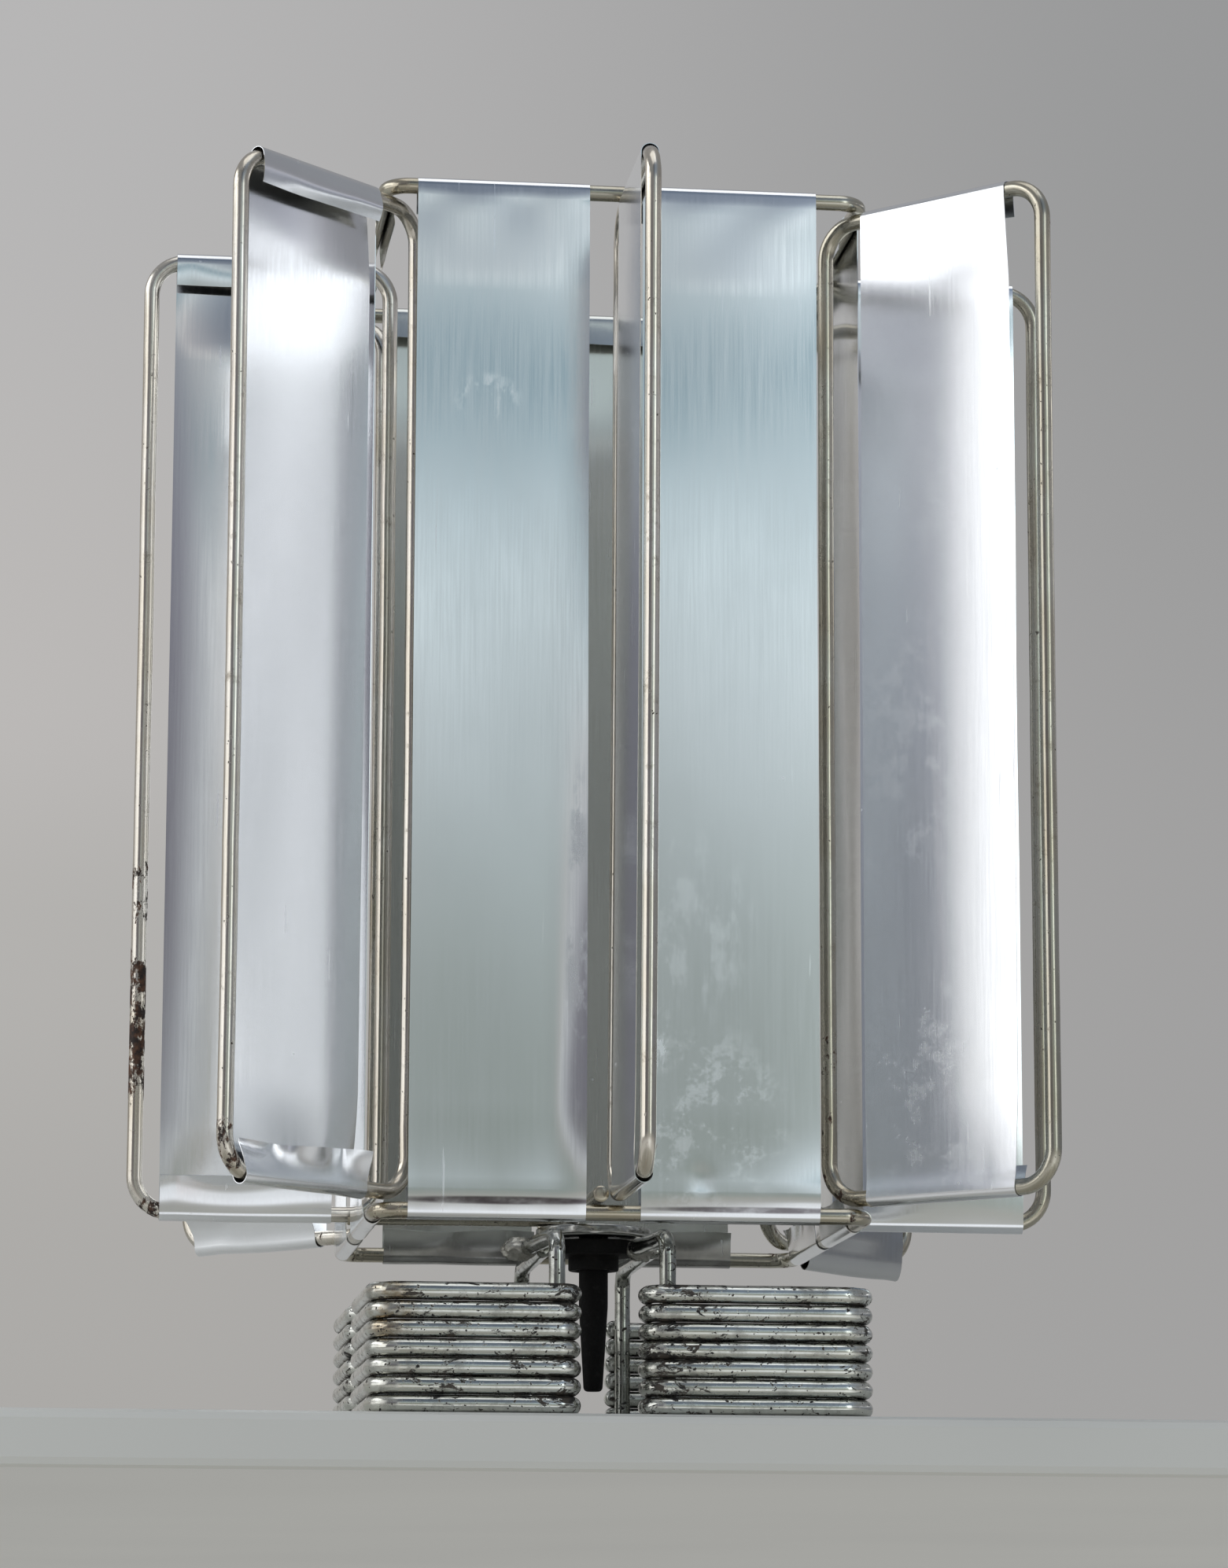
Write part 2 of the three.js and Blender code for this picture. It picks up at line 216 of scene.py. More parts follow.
# ---------------------------------------------------------------- materials
class Nodes:
    def __init__(self, name):
        self.mat = bpy.data.materials.new(name)
        self.mat.use_nodes = True
        self.t = self.mat.node_tree
        self.t.nodes.clear()
        self.out = self.t.nodes.new("ShaderNodeOutputMaterial")
        self.bsdf = self.t.nodes.new("ShaderNodeBsdfPrincipled")
        self.t.links.new(self.bsdf.outputs[0], self.out.inputs[0])
        self.coord = self.t.nodes.new("ShaderNodeTexCoord").outputs["Object"]

    def link(self, a, b):
        self.t.links.new(a, b)

    def put(self, value, socket):
        if isinstance(value, bpy.types.NodeSocket):
            self.link(value, socket)
        else:
            socket.default_value = value

    def scaled(self, s, offset=(0, 0, 0)):
        m = self.t.nodes.new("ShaderNodeMapping")
        m.inputs["Scale"].default_value = s
        m.inputs["Location"].default_value = offset
        self.link(self.coord, m.inputs["Vector"])
        return m.outputs[0]

    def noise(self, scale, detail=4, rough=0.55, stretch=(1, 1, 1), offset=(0, 0, 0), distortion=0.0):
        n = self.t.nodes.new("ShaderNodeTexNoise")
        n.inputs["Scale"].default_value = scale
        n.inputs["Detail"].default_value = detail
        n.inputs["Roughness"].default_value = rough
        n.inputs["Distortion"].default_value = distortion
        self.link(self.scaled(stretch, offset), n.inputs["Vector"])
        return n.outputs["Fac"]

    def voronoi(self, scale, stretch=(1, 1, 1), offset=(0, 0, 0)):
        n = self.t.nodes.new("ShaderNodeTexVoronoi")
        n.inputs["Scale"].default_value = scale
        self.link(self.scaled(stretch, offset), n.inputs["Vector"])
        return n.outputs["Distance"]

    def remap(self, v, a, b, c=0.0, d=1.0, smooth=True):
        n = self.t.nodes.new("ShaderNodeMapRange")
        n.interpolation_type = "SMOOTHSTEP" if smooth else "LINEAR"
        n.inputs["From Min"].default_value = a
        n.inputs["From Max"].default_value = b
        n.inputs["To Min"].default_value = c
        n.inputs["To Max"].default_value = d
        self.link(v, n.inputs["Value"])
        return n.outputs[0]

    def math(self, op, a, b=0.0, clamp=False):
        n = self.t.nodes.new("ShaderNodeMath")
        n.operation = op
        n.use_clamp = clamp
        self.put(a, n.inputs[0])
        self.put(b, n.inputs[1])
        return n.outputs[0]

    def mix(self, fac, a, b):
        n = self.t.nodes.new("ShaderNodeMix")
        n.data_type = "RGBA"
        self.put(fac, n.inputs["Factor"])
        self.put(a if not isinstance(a, tuple) else (*a, 1.0), n.inputs[6])
        self.put(b if not isinstance(b, tuple) else (*b, 1.0), n.inputs[7])
        return n.outputs[2]

    def zone(self, centre, size, soft=0.5):
        """1 inside an ellipsoid of half sizes, in metres, fading to 0 at its edge."""
        m = self.t.nodes.new("ShaderNodeMapping")
        m.inputs["Scale"].default_value = tuple(1 / s for s in size)
        m.inputs["Location"].default_value = tuple(-c / s for c, s in zip(centre, size))
        self.link(self.coord, m.inputs["Vector"])
        v = self.t.nodes.new("ShaderNodeVectorMath")
        v.operation = "LENGTH"
        self.link(m.outputs[0], v.inputs[0])
        return self.remap(v.outputs["Value"], 1.0, 1.0 - soft)

    def zones(self, items):
        total = None
        for centre, size, strength in items:
            z = self.math("MULTIPLY", self.zone(centre, size), strength)
            total = z if total is None else self.math("MAXIMUM", total, z)
        return total

    def bump(self, height, strength, distance):
        n = self.t.nodes.new("ShaderNodeBump")
        n.inputs["Strength"].default_value = strength
        n.inputs["Distance"].default_value = distance
        self.link(height, n.inputs["Height"])
        self.link(n.outputs[0], self.bsdf.inputs["Normal"])

    def set(self, **kw):
        for k, v in kw.items():
            self.put(v if not isinstance(v, tuple) else (*v, 1.0), self.bsdf.inputs[k.replace("_", " ")])
        return self.mat


def plated_wire(name, base, warm, rust_zones=(), pits=0.5, roughness=0.2, dark=(0.035, 0.026, 0.018)):
    """Drawn nickel plated wire: slow tint changes, fine draw lines, dark pits, and rust where the zones say."""
    n = Nodes(name)
    tint = n.remap(n.noise(60, 3, 0.6), 0.35, 0.68)
    colour = n.mix(tint, base, warm)
    grime = n.remap(n.noise(420, 5, 0.7, offset=(3, 1, 2)), 0.56, 0.74)
    colour = n.mix(n.math("MULTIPLY", grime, 0.55), colour, (0.20, 0.17, 0.125))
    speck = n.remap(n.noise(1500, 2, 0.6, offset=(7, 5, 1)), 0.70 - 0.04 * pits, 0.76 - 0.04 * pits)
    speck = n.math("MULTIPLY", speck, n.remap(n.noise(120, 2, 0.5, offset=(1, 9, 4)), 0.42, 0.6))
    mask = speck
    if rust_zones:
        z = n.zones(rust_zones)
        patch = n.noise(620, 6, 0.75, stretch=(1, 1, 0.55), offset=(2, 2, 8))
        gate = n.math("SUBTRACT", n.math("ADD", patch, n.math("MULTIPLY", z, 0.36)), 0.845)
        rust = n.remap(gate, 0.0, 0.06)
        rust = n.math("MULTIPLY", rust, n.remap(z, 0.02, 0.2))
        brown = n.mix(n.remap(n.noise(900, 4, 0.7), 0.4, 0.65), (0.020, 0.012, 0.009), (0.12, 0.055, 0.028))
        colour = n.mix(rust, colour, brown)
        mask = n.math("MAXIMUM", speck, rust)
    colour = n.mix(speck, colour, dark)
    lines = n.noise(2600, 3, 0.6, stretch=(1, 1, 0.06))
    rough = n.remap(lines, 0.3, 0.7, roughness - 0.03, roughness + 0.07)
    rough = n.math("ADD", rough, n.math("MULTIPLY", grime, 0.12))
    rough = n.math("ADD", rough, n.math("MULTIPLY", mask, 0.45), clamp=True)
    metal = n.math("SUBTRACT", 1.0, n.math("MULTIPLY", mask, 0.85))
    height = n.math("SUBTRACT", n.math("MULTIPLY", lines, 0.12), mask)
    n.bump(height, 0.35, 0.00006)
    return n.set(Base_Color=colour, Metallic=metal, Roughness=rough)


def tinned_wire(name, base=(0.695, 0.715, 0.675), warm=(0.61, 0.615, 0.555), flake=0.5, zones=(), stains=(), roughness=0.15, pitch=0.0):
    """Tinned wire whose plating has flaked off in black specks and streaks along the wire; pitch paints shade on the
    bars next to the gaps between stacked bars and packs more flakes there.
    """
    n = Nodes(name)
    tint = n.remap(n.noise(90, 3, 0.6), 0.35, 0.65)
    colour = n.mix(tint, base, warm)
    haze = n.remap(n.noise(330, 4, 0.7, offset=(4, 4, 4)), 0.46, 0.70)
    colour = n.mix(n.math("MULTIPLY", haze, 0.6), colour, (0.24, 0.24, 0.22))
    a = n.noise(640, 6, 0.8, stretch=(0.62, 0.62, 1.25), offset=(1, 2, 3), distortion=0.6)
    area = n.remap(n.noise(75, 3, 0.6, offset=(9, 3, 5)), 0.3, 0.7, -0.05, 0.06)
    gate = n.math("ADD", a, area)
    if zones:
        gate = n.math("ADD", gate, n.math("MULTIPLY", n.zones(zones), 0.12))
    gap_shade_and_flakes = None
    if pitch:
        sep = n.t.nodes.new("ShaderNodeSeparateXYZ")
        n.link(n.coord, sep.inputs[0])
        place = n.math("FRACT", n.math("ADD", n.math("MULTIPLY", n.math("SUBTRACT", sep.outputs["Z"], BAR_R), 1 / pitch), 0.5))
        away = n.math("MULTIPLY", n.math("ABSOLUTE", n.math("SUBTRACT", place, 0.5)), 2.0)
        # painted shade and extra flakes on the bars next to the gaps between stacked bars
        gap_shade_and_flakes = n.remap(away, 0.58, 0.98)
        upper = n.remap(place, 0.66, 0.9)
        gate = n.math("ADD", gate, n.math("MULTIPLY", gap_shade_and_flakes, 0.055))
        gate = n.math("ADD", gate, n.math("MULTIPLY", upper, 0.035))
    flakes = n.remap(gate, 0.665 - 0.07 * flake, 0.685 - 0.07 * flake)
    dots = n.remap(n.noise(1500, 2, 0.5, offset=(5, 8, 2)), 0.645, 0.68)
    mask = n.math("MAXIMUM", flakes, dots)
    # painted shade: darkens each bar next to the gaps between the stacked bars
    if gap_shade_and_flakes is not None:
        colour = n.mix(n.math("MULTIPLY", gap_shade_and_flakes, 0.6), colour, (0.085, 0.08, 0.07))
    if stains:
        s = n.remap(n.noise(240, 5, 0.7, offset=(2, 9, 1)), 0.38, 0.6)
        colour = n.mix(n.math("MULTIPLY", n.math("MULTIPLY", n.zones(stains), s), 0.75), colour, (0.26, 0.19, 0.10))
    black = n.mix(n.remap(n.noise(700, 3, 0.6), 0.4, 0.6), (0.012, 0.011, 0.010), (0.055, 0.045, 0.035))
    colour = n.mix(mask, colour, black)
    lines = n.noise(2400, 3, 0.6, stretch=(0.08, 0.08, 1.0))
    rough = n.remap(lines, 0.3, 0.7, roughness - 0.03, roughness + 0.06)
    rough = n.math("ADD", rough, n.math("MULTIPLY", haze, 0.14))
    rough = n.math("ADD", rough, n.math("MULTIPLY", mask, 0.42), clamp=True)
    metal = n.math("SUBTRACT", 1.0, n.math("MULTIPLY", mask, 0.9))
    height = n.math("SUBTRACT", n.math("MULTIPLY", lines, 0.1), mask)
    height = n.math("ADD", height, n.math("MULTIPLY", n.noise(260, 3, 0.5), 0.8))
    n.bump(height, 0.45, 0.00009)
    return n.set(Base_Color=colour, Metallic=metal, Roughness=rough)


def foil_material(name, smudges=(), worn=(), crease_shades=(), base=(0.865, 0.885, 0.90), roughness=0.11, aniso=0.72, bump=0.055):
    """Soft aluminium foil: upright rolling grain, cloudy tarnish, finger smudges, small bright dings, and painted shade
    along the listed creases.
    """
    n = Nodes(name)
    cloud = n.remap(n.noise(38, 4, 0.6, stretch=(1, 1, 0.55)), 0.34, 0.68)
    colour = n.mix(cloud, base, tuple(c * 0.93 for c in base))
    grain = n.noise(3600, 4, 0.7, stretch=(1, 1, 0.018))
    fine = n.noise(9000, 2, 0.6, stretch=(1, 1, 0.05), offset=(4, 4, 1))
    colour = n.mix(n.remap(grain, 0.3, 0.7, 0.0, 0.12), colour, (0.66, 0.685, 0.71))
    scratch = n.remap(n.noise(1300, 2, 0.5, stretch=(1, 1, 0.035), offset=(8, 1, 6)), 0.72, 0.76)
    ding = n.remap(n.voronoi(420, offset=(0.3, 0.1, 0.7)), 0.10, 0.05)
    ding = n.math("MULTIPLY", ding, n.remap(n.noise(90, 2, 0.5, offset=(2, 7, 3)), 0.60, 0.68))
    rough = n.remap(grain, 0.3, 0.7, roughness - 0.02, roughness + 0.03)
    rough = n.math("ADD", rough, n.math("MULTIPLY", cloud, 0.03))
    marks = n.math("MAXIMUM", n.math("MULTIPLY", scratch, 0.5), ding)
    if smudges:
        z = n.zones(smudges)
        s = n.remap(n.noise(300, 5, 0.72, stretch=(1, 1, 0.45), offset=(6, 2, 1)), 0.46, 0.62)
        s = n.math("MULTIPLY", z, s)
        marks = n.math("MAXIMUM", marks, n.math("MULTIPLY", s, 0.75))
    if worn:
        z = n.zones(worn)
        s = n.remap(n.noise(210, 6, 0.75, offset=(1, 6, 4)), 0.50, 0.60)
        marks = n.math("MAXIMUM", marks, n.math("MULTIPLY", n.math("MULTIPLY", z, s), 0.55))
    colour = n.mix(marks, colour, (0.90, 0.93, 0.95))
    # painted shade: darkens the listed crease zones, where the foil folds in
    if crease_shades:
        s = n.remap(n.noise(160, 4, 0.65, stretch=(1, 1, 2.0), offset=(5, 5, 2)), 0.25, 0.6, 0.45, 1.0)
        colour = n.mix(n.math("MULTIPLY", n.zones(crease_shades), s), colour, (0.13, 0.115, 0.125))
    rough = n.math("ADD", rough, n.math("MULTIPLY", marks, 0.32), clamp=True)
    height = n.math("ADD", n.math("MULTIPLY", grain, 0.5), n.math("MULTIPLY", fine, 0.25))
    height = n.math("ADD", height, n.math("MULTIPLY", n.noise(120, 2, 0.5, stretch=(1, 1, 0.3)), 1.2))
    n.bump(height, bump, 0.00004)
    n.bsdf.inputs["Anisotropic"].default_value = aniso
    return n.set(Base_Color=colour, Metallic=1.0, Roughness=rough)


def black_material(name, grey=0.012):
    """Matt black moulding: slight mottling and dust."""
    n = Nodes(name)
    dust = n.remap(n.noise(700, 5, 0.7), 0.52, 0.75)
    colour = n.mix(n.math("MULTIPLY", dust, 0.4), (grey, grey, grey * 0.95), (0.035, 0.033, 0.03))
    fine = n.noise(3000, 3, 0.6)
    n.bump(n.math("ADD", n.math("MULTIPLY", fine, 0.6), n.noise(500, 3, 0.5)), 0.35, 0.00008)
    return n.set(Base_Color=colour, Specular_IOR_Level=0.22, Roughness=n.remap(fine, 0.3, 0.7, 0.6, 0.75))


def solder_material(name):
    """Dull solder with flux residue in its hollows."""
    n = Nodes(name)
    a = n.noise(260, 5, 0.65)
    colour = n.mix(n.remap(a, 0.35, 0.65), (0.34, 0.33, 0.29), (0.66, 0.65, 0.60))
    flux = n.remap(n.noise(480, 5, 0.75, offset=(3, 3, 3)), 0.57, 0.66)
    colour = n.mix(flux, colour, (0.06, 0.052, 0.04))
    height = n.math("ADD", a, n.math("MULTIPLY", n.noise(900, 4, 0.7), 0.4))
    n.bump(height, 0.8, 0.0005)
    metal = n.math("SUBTRACT", 1.0, n.math("MULTIPLY", flux, 0.7))
    return n.set(Base_Color=colour, Metallic=metal, Roughness=n.remap(a, 0.35, 0.65, 0.22, 0.42))


NICKEL, NICKEL_WARM = (0.66, 0.635, 0.575), (0.60, 0.555, 0.465)
OLD, OLD_WARM = (0.50, 0.485, 0.41), (0.44, 0.40, 0.31)


# ---------------------------------------------------------------- rotor geometry
LOOPS = {"front": -90, "front_right": -45, "right": 0, "back_right": 45, "back": 90, "back_left": 135, "left": 180, "front_left": 225}


def axes(deg):
    a = math.radians(deg)
    return Vector((math.cos(a), math.sin(a), 0)), Vector((-math.sin(a), math.cos(a), 0))


def reach_of(where):
    """Radial places of the two legs' centre lines."""
    u, t = axes(LOOPS[where])
    lo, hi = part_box("loop_" + where)
    if LOOPS[where] % 90 == 0:
        return SIDE_REACH
    # a diagonal loop: its box reaches the legs' outer surfaces in x, rounded sections in between
    far = max(abs(lo.x), abs(hi.x))
    near = min(abs(lo.x), abs(hi.x))
    k = math.sqrt(0.5)
    return ((near + WIRE_R) / k - WIRE_R * 0.0, (far - WIRE_R) / k)


LEAN = {  # sideways shift of a loop along its tangent, top and bottom, and how far it bows
    "front": (-0.20, -0.72, 0.10), "front_right": (0.05, 0.0, -0.12), "right": (0.0, 0.1, 0.1), "back_right": (0.0, 0.1, 0.1),
    "back": (0.1, -0.1, 0.1), "back_left": (0.0, 0.1, -0.1), "left": (0.0, 0.1, 0.12), "front_left": (0.0, -0.05, 0.12),
}


def lean_at(where, z):
    top, bottom, bow = LEAN[where]
    f = (z - LOOP_Z[0]) / (LOOP_Z[1] - LOOP_Z[0])
    return (bottom + (top - bottom) * f + bow * math.sin(math.pi * min(1, max(0, f)))) * MM


def loop_piece(where, material, corner=4.6 * MM):
    u, t = axes(LOOPS[where])
    r0, r1 = reach_of(where)
    z0, z1 = LOOP_Z
    corners = [u * r0 + Vector((0, 0, z0)), u * r1 + Vector((0, 0, z0)), u * r1 + Vector((0, 0, z1)), u * r0 + Vector((0, 0, z1))]
    pts = resample(fillet(corners, [corner], True, 12), True, 4 * MM)
    w = wobble(sum(map(ord, where)), 4, 0.8, 3.0)
    moved = []
    for p in pts:
        f = (p.z - z0) / (z1 - z0)
        radial = 0.10 * MM * float(w(f)) * math.sin(math.pi * f)
        moved.append(p + t * lean_at(where, p.z) - u * abs(radial))
    v, f = tube_mesh(moved, WIRE_R, True, 22, seed=len(where) * 7 + 3)
    return mesh_object("wire_loop_" + where, v, f, material, "rotor", "loop_" + where)


def ring_piece(name, z, material, seed):
    h = RING_HALF
    corners = [Vector((-h, -h, z)), Vector((h, -h, z)), Vector((h, h, z)), Vector((-h, h, z))]
    pts = resample(fillet(corners, [3.0 * MM], True, 12), True, 4 * MM)
    w = wobble(seed, 4, 0.8, 2.0)
    moved = []
    for p in pts:
        s = (p.x + p.y) / (4 * h) + 0.5
        inward = Vector((-p.x, -p.y, 0)).normalized()
        moved.append(p + Vector((0, 0, 0.06 * MM * float(w(s)))) + inward * 0.05 * MM)
    v, f = tube_mesh(moved, WIRE_R, True, 22, seed=seed)
    return mesh_object("wire_" + name, v, f, material, "rotor", name)


def foil_piece(name, node, material, w_dir, n_dir, w0, w1, zb, zt, shift=None, bow=0.5, bow_shift=0.0, tilt=0.0, flap_top=3.4, flap_bottom=3.4,
               flare_top=0.25, flare_bottom=0.35, crinkle_top=0.05, crinkle_bottom=0.12, sag=0.0, waves=0.05, dents=(), taper=(0.0, 0.0),
               bottom_taper=(0.0, 0.0), curl=(0.0, 0.0), roll=(0.5, 0.0), offset=0.0, seed=1, cols=44, thick=0.09, tuck=0.0, flap_tilt=0.0, flap_lean=0.0, puff=0.0):
    """A folded foil strip. It hangs on the +n side from the upper wire (z = zt) to the lower (z = zb), is wrapped round both,
    and ends in a short flap on the -n side. a runs 0..1 across the strip from w0 to w1; curl bends the edges at a = 0 and a = 1."""
    gap = 0.10 * MM
    r = WIRE_R + gap
    rs = np.random.RandomState(seed)
    path = []  # (n, z, zone, amount)
    steps_f, steps_a, steps_m = 8, 14, 96
    for i in range(steps_f):
        path.append((-r, zt - flap_top * MM * (1 - i / steps_f), "top", 1 - i / steps_f))
    for i in range(steps_a + 1):
        a = math.pi - math.pi * i / steps_a
        path.append((r * math.cos(a), zt + r * math.sin(a), "wrap", 0.0))
    for i in range(1, steps_m):
        path.append((r, zt + (zb - zt) * i / steps_m, "main", i / steps_m))
    for i in range(steps_a + 1):
        a = -math.pi * i / steps_a
        path.append((r * math.cos(a), zb + (r + sag * MM) * math.sin(a), "wrap_low", 0.0))
    for i in range(1, steps_f + 1):
        path.append((-r, zb + flap_bottom * MM * i / steps_f, "low", i / steps_f))
    rows = len(path)
    A = np.linspace(0, 1, cols + 1)
    # the cut edges carry a little extra detail
    A = 0.5 - 0.5 * np.cos(np.pi * A) * (0.25 + 0.75 * np.abs(np.cos(np.pi * A)) ** 0.0)
    wave = field(seed + 11, 7, 1.3, 2.2)
    crease = field(seed + 23, 4, 1.5, 1.0)
    crease2 = field(seed + 37, 5, 2.2, 1.5)
    edge0, edge1 = wobble(seed + 5, 3, 0.6, 2.0), wobble(seed + 6, 3, 0.6, 2.0)
    P = np.zeros((rows, cols + 1, 3))
    for i, (pn, pz, zone, k) in enumerate(path):
        f = min(1.0, max(0.0, (pz - zb) / (zt - zb)))  # 0 at the bottom wire, 1 at the top
        window = math.sin(math.pi * f) ** 0.55 if zone == "main" else 0.0
        hold = min(1.0, 12 * f * (1 - f)) if zone == "main" else 0.0
        ea = w0 + (taper[0] * f + bottom_taper[0] * (1 - f)) * MM + 0.10 * MM * float(edge0(f)) * window
        eb = w1 + (taper[1] * f + bottom_taper[1] * (1 - f)) * MM + 0.10 * MM * float(edge1(f)) * window
        ea, eb = max(ea, w0), min(eb, w1)
        w = ea + (eb - ea) * A
        n = np.full(cols + 1, pn)
        z = np.full(cols + 1, pz)
        if zone == "main":
            c = A - 0.5 - bow_shift
            shape = 1 - 4 * c * c
            n = n + bow * MM * shape * hold * (0.55 + 0.45 * window)
            n = n + tilt * MM * (A - 0.5) * hold
            n = n + roll[1] * MM * np.clip((A - roll[0]) / (1 - roll[0]), 0, 1) ** 2 * hold * (0.6 + 0.4 * window)
            n = n + waves * MM * wave(A, f) * window
            n = n + curl[0] * MM * np.clip(1 - A / 0.3, 0, 1) ** 2 * hold * (1.1 - 0.6 * f)
            n = n + curl[1] * MM * np.clip(1 - (1 - A) / 0.22, 0, 1) ** 1.6 * hold * min(1.0, max(0.0, 1.2 - 1.6 * f))
            h = (pz - zb) / MM
            n = n - tuck * MM * (1 - math.exp(-((h / (1.4 if tuck > 0 else 1.0)) ** 2))) * math.exp(-h / 6)
            low = math.exp(-((pz - zb) / (6.5 * MM)) ** 2)
            high = math.exp(-((zt - pz) / (5.0 * MM)) ** 2)
            fade = min(1.0, (pz - zb) / (1.6 * MM)) * min(1.0, (zt - pz) / (1.6 * MM))
            n = n + crinkle_bottom * MM * low * fade * np.abs(crease(A, 4 * f)) * 1.2
            n = n + crinkle_top * MM * high * fade * crease2(A, 4 * f)
            for (da, dz, depth, ra, rz) in dents:
                g = np.exp(-(((A - da) / ra) ** 2) - (((pz - zb) / MM - dz) / rz) ** 2)
                n = n + depth * MM * g * fade
        elif zone == "top":
            n = n - flare_top * MM * k * k - crinkle_top * 2.2 * MM * k * np.abs(crease(A, 0.6 * k))
            z = z + 0.16 * MM * k * crease2(A * 0.7, 0.2)
            n = n - puff * MM * (1 - 0.65 * A) * (0.45 * (1 - k) + 0.8 * math.sin(math.pi * k))
        elif zone == "wrap":
            q = 1 - (i - steps_f) / steps_a
            n = n - puff * MM * (1 - 0.65 * A) * 0.45 * q
            z = z + puff * MM * (1 - 0.65 * A) * 0.3 * math.sin(math.pi * q)
        elif zone == "low":
            n = n - flare_bottom * MM * k * k - crinkle_bottom * 2.6 * MM * (0.35 + k) * k * (0.4 + np.abs(crease(A, 0.5 * k)))
            n = n + (flap_tilt * (A - 0.5) + flap_lean) * MM * k
            z = z + (0.10 + crinkle_bottom) * MM * k * crease2(A * 0.8, 0.3)
        elif zone == "wrap_low":
            z = z - crinkle_bottom * 0.5 * MM * np.abs(crease(A, 0.1)) * abs(math.sin(math.pi * (i % 17) / 17))
        for j in range(cols + 1):
            base = w_dir * w[j] + n_dir * (n[j] + offset * MM) + Vector((0, 0, z[j]))
            if shift is not None:
                base = base + shift(z[j])
            P[i, j] = base
    du = np.gradient(P, axis=1)
    dv = np.gradient(P, axis=0)
    N = np.cross(du, dv)
    N /= np.linalg.norm(N, axis=2, keepdims=True) + 1e-12
    lo_c = np.array(CAD_BOX[0]) + 1e-5
    hi_c = np.array(CAD_BOX[1]) - 1e-5
    top = np.clip(P + N * thick * MM / 2, lo_c, hi_c).reshape(-1, 3)
    bot = np.clip(P - N * thick * MM / 2, lo_c, hi_c).reshape(-1, 3)
    verts = np.concatenate([top, bot])
    c1, half = cols + 1, rows * (cols + 1)
    faces = []
    for i in range(rows - 1):
        for j in range(cols):
            a, b, c, d = i * c1 + j, i * c1 + j + 1, (i + 1) * c1 + j + 1, (i + 1) * c1 + j
            faces.append((a, b, c, d))
            faces.append((half + a, half + d, half + c, half + b))
    for i in range(rows - 1):
        a, d = i * c1, (i + 1) * c1
        faces.append((a, d, half + d, half + a))
        b, c = i * c1 + cols, (i + 1) * c1 + cols
        faces.append((b, half + b, half + c, c))
    for j in range(cols):
        faces.append((j, half + j, half + j + 1, j + 1))
        a = (rows - 1) * c1 + j
        faces.append((a, a + 1, half + a + 1, half + a))
    ob = mesh_object(name, verts, faces, material, "rotor", node, sharp=50)
    return ob


# rust zones: centre, half sizes (metres), strength
z_lo = LOOP_Z[0]
left_outer = Vector((-SIDE_REACH[1], 0, 0))
k = math.sqrt(0.5)
fr0, fr1 = reach_of("front_right")
fl0, fl1 = reach_of("front_left")
M = MM
wire_mats = {
    "front": plated_wire("wire_front", NICKEL, NICKEL_WARM, [((0, -SIDE_REACH[0], z_lo), (4 * M, 4 * M, 5 * M), 0.8)], 0.4, 0.17),
    "left": plated_wire("wire_left", NICKEL, NICKEL_WARM, [
        ((left_outer.x, 0, z_lo + 24 * M), (3 * M, 3 * M, 17 * M), 1.2),
        ((left_outer.x, 0, z_lo + 42 * M), (3 * M, 3 * M, 9 * M), 0.95),
        ((left_outer.x + 2 * M, 0, z_lo + 2 * M), (5 * M, 3 * M, 5 * M), 0.95)], 0.6, 0.19),
    "front_left": plated_wire("wire_front_left", NICKEL, NICKEL_WARM, [
        ((-fl1 * k, -fl1 * k, z_lo + 3 * M), (4 * M, 4 * M, 6 * M), 0.95),
        ((-fl1 * k, -fl1 * k, z_lo + 76 * M), (2 * M, 2 * M, 2.5 * M), 0.7)], 0.6, 0.19),
    "front_right": plated_wire("wire_front_right", OLD, OLD_WARM, [
        ((fr0 * k, -fr0 * k, z_lo + 12 * M), (3 * M, 3 * M, 22 * M), 0.80),
        ((fr0 * k, -fr0 * k, z_lo + 1 * M), (5 * M, 5 * M, 5 * M), 0.9),
        ((fr1 * k, -fr1 * k, z_lo + 45 * M), (2 * M, 2 * M, 2 * M), 0.6)], 0.8, 0.2),
    "right": plated_wire("wire_right", OLD, OLD_WARM, [((SIDE_REACH[0], 0, z_lo), (6 * M, 4 * M, 8 * M), 0.7)], 0.8, 0.22),
    "back_right": plated_wire("wire_back_right", OLD, OLD_WARM, [((30 * M, 30 * M, z_lo), (8 * M, 8 * M, 12 * M), 0.8)], 0.9, 0.24),
    "back": plated_wire("wire_back", OLD, OLD_WARM, [((0, 40 * M, z_lo), (4 * M, 20 * M, 6 * M), 0.7)], 0.8, 0.24),
    "back_left": plated_wire("wire_back_left", NICKEL, OLD_WARM, [((-30 * M, 30 * M, z_lo), (8 * M, 8 * M, 12 * M), 0.7)], 0.8, 0.22),
}
for where in LOOPS:
    loop_piece(where, wire_mats[where])

ring_rust = [((RING_HALF * s, -RING_HALF * q, RING_BOTTOM), (7 * M, 7 * M, 3 * M), 0.8) for s in (-1, 1) for q in (-1, 1)]
ring_rust += [((x * M, -RING_HALF, RING_BOTTOM), (4.5 * M, 3 * M, 3 * M), 0.72) for x in (-1.5, 1.5)]
ring_mat = plated_wire("wire_ring_bottom", OLD, OLD_WARM, ring_rust, 0.9, 0.2)
top_ring_mat = plated_wire("wire_ring_top", OLD, OLD_WARM, [((0, -RING_HALF, RING_TOP), (5 * M, 3 * M, 3 * M), 0.5)], 0.7, 0.2)
ring_piece("ring_bottom", RING_BOTTOM, ring_mat, 4)
ring_piece("ring_top", RING_TOP, top_ring_mat, 9)


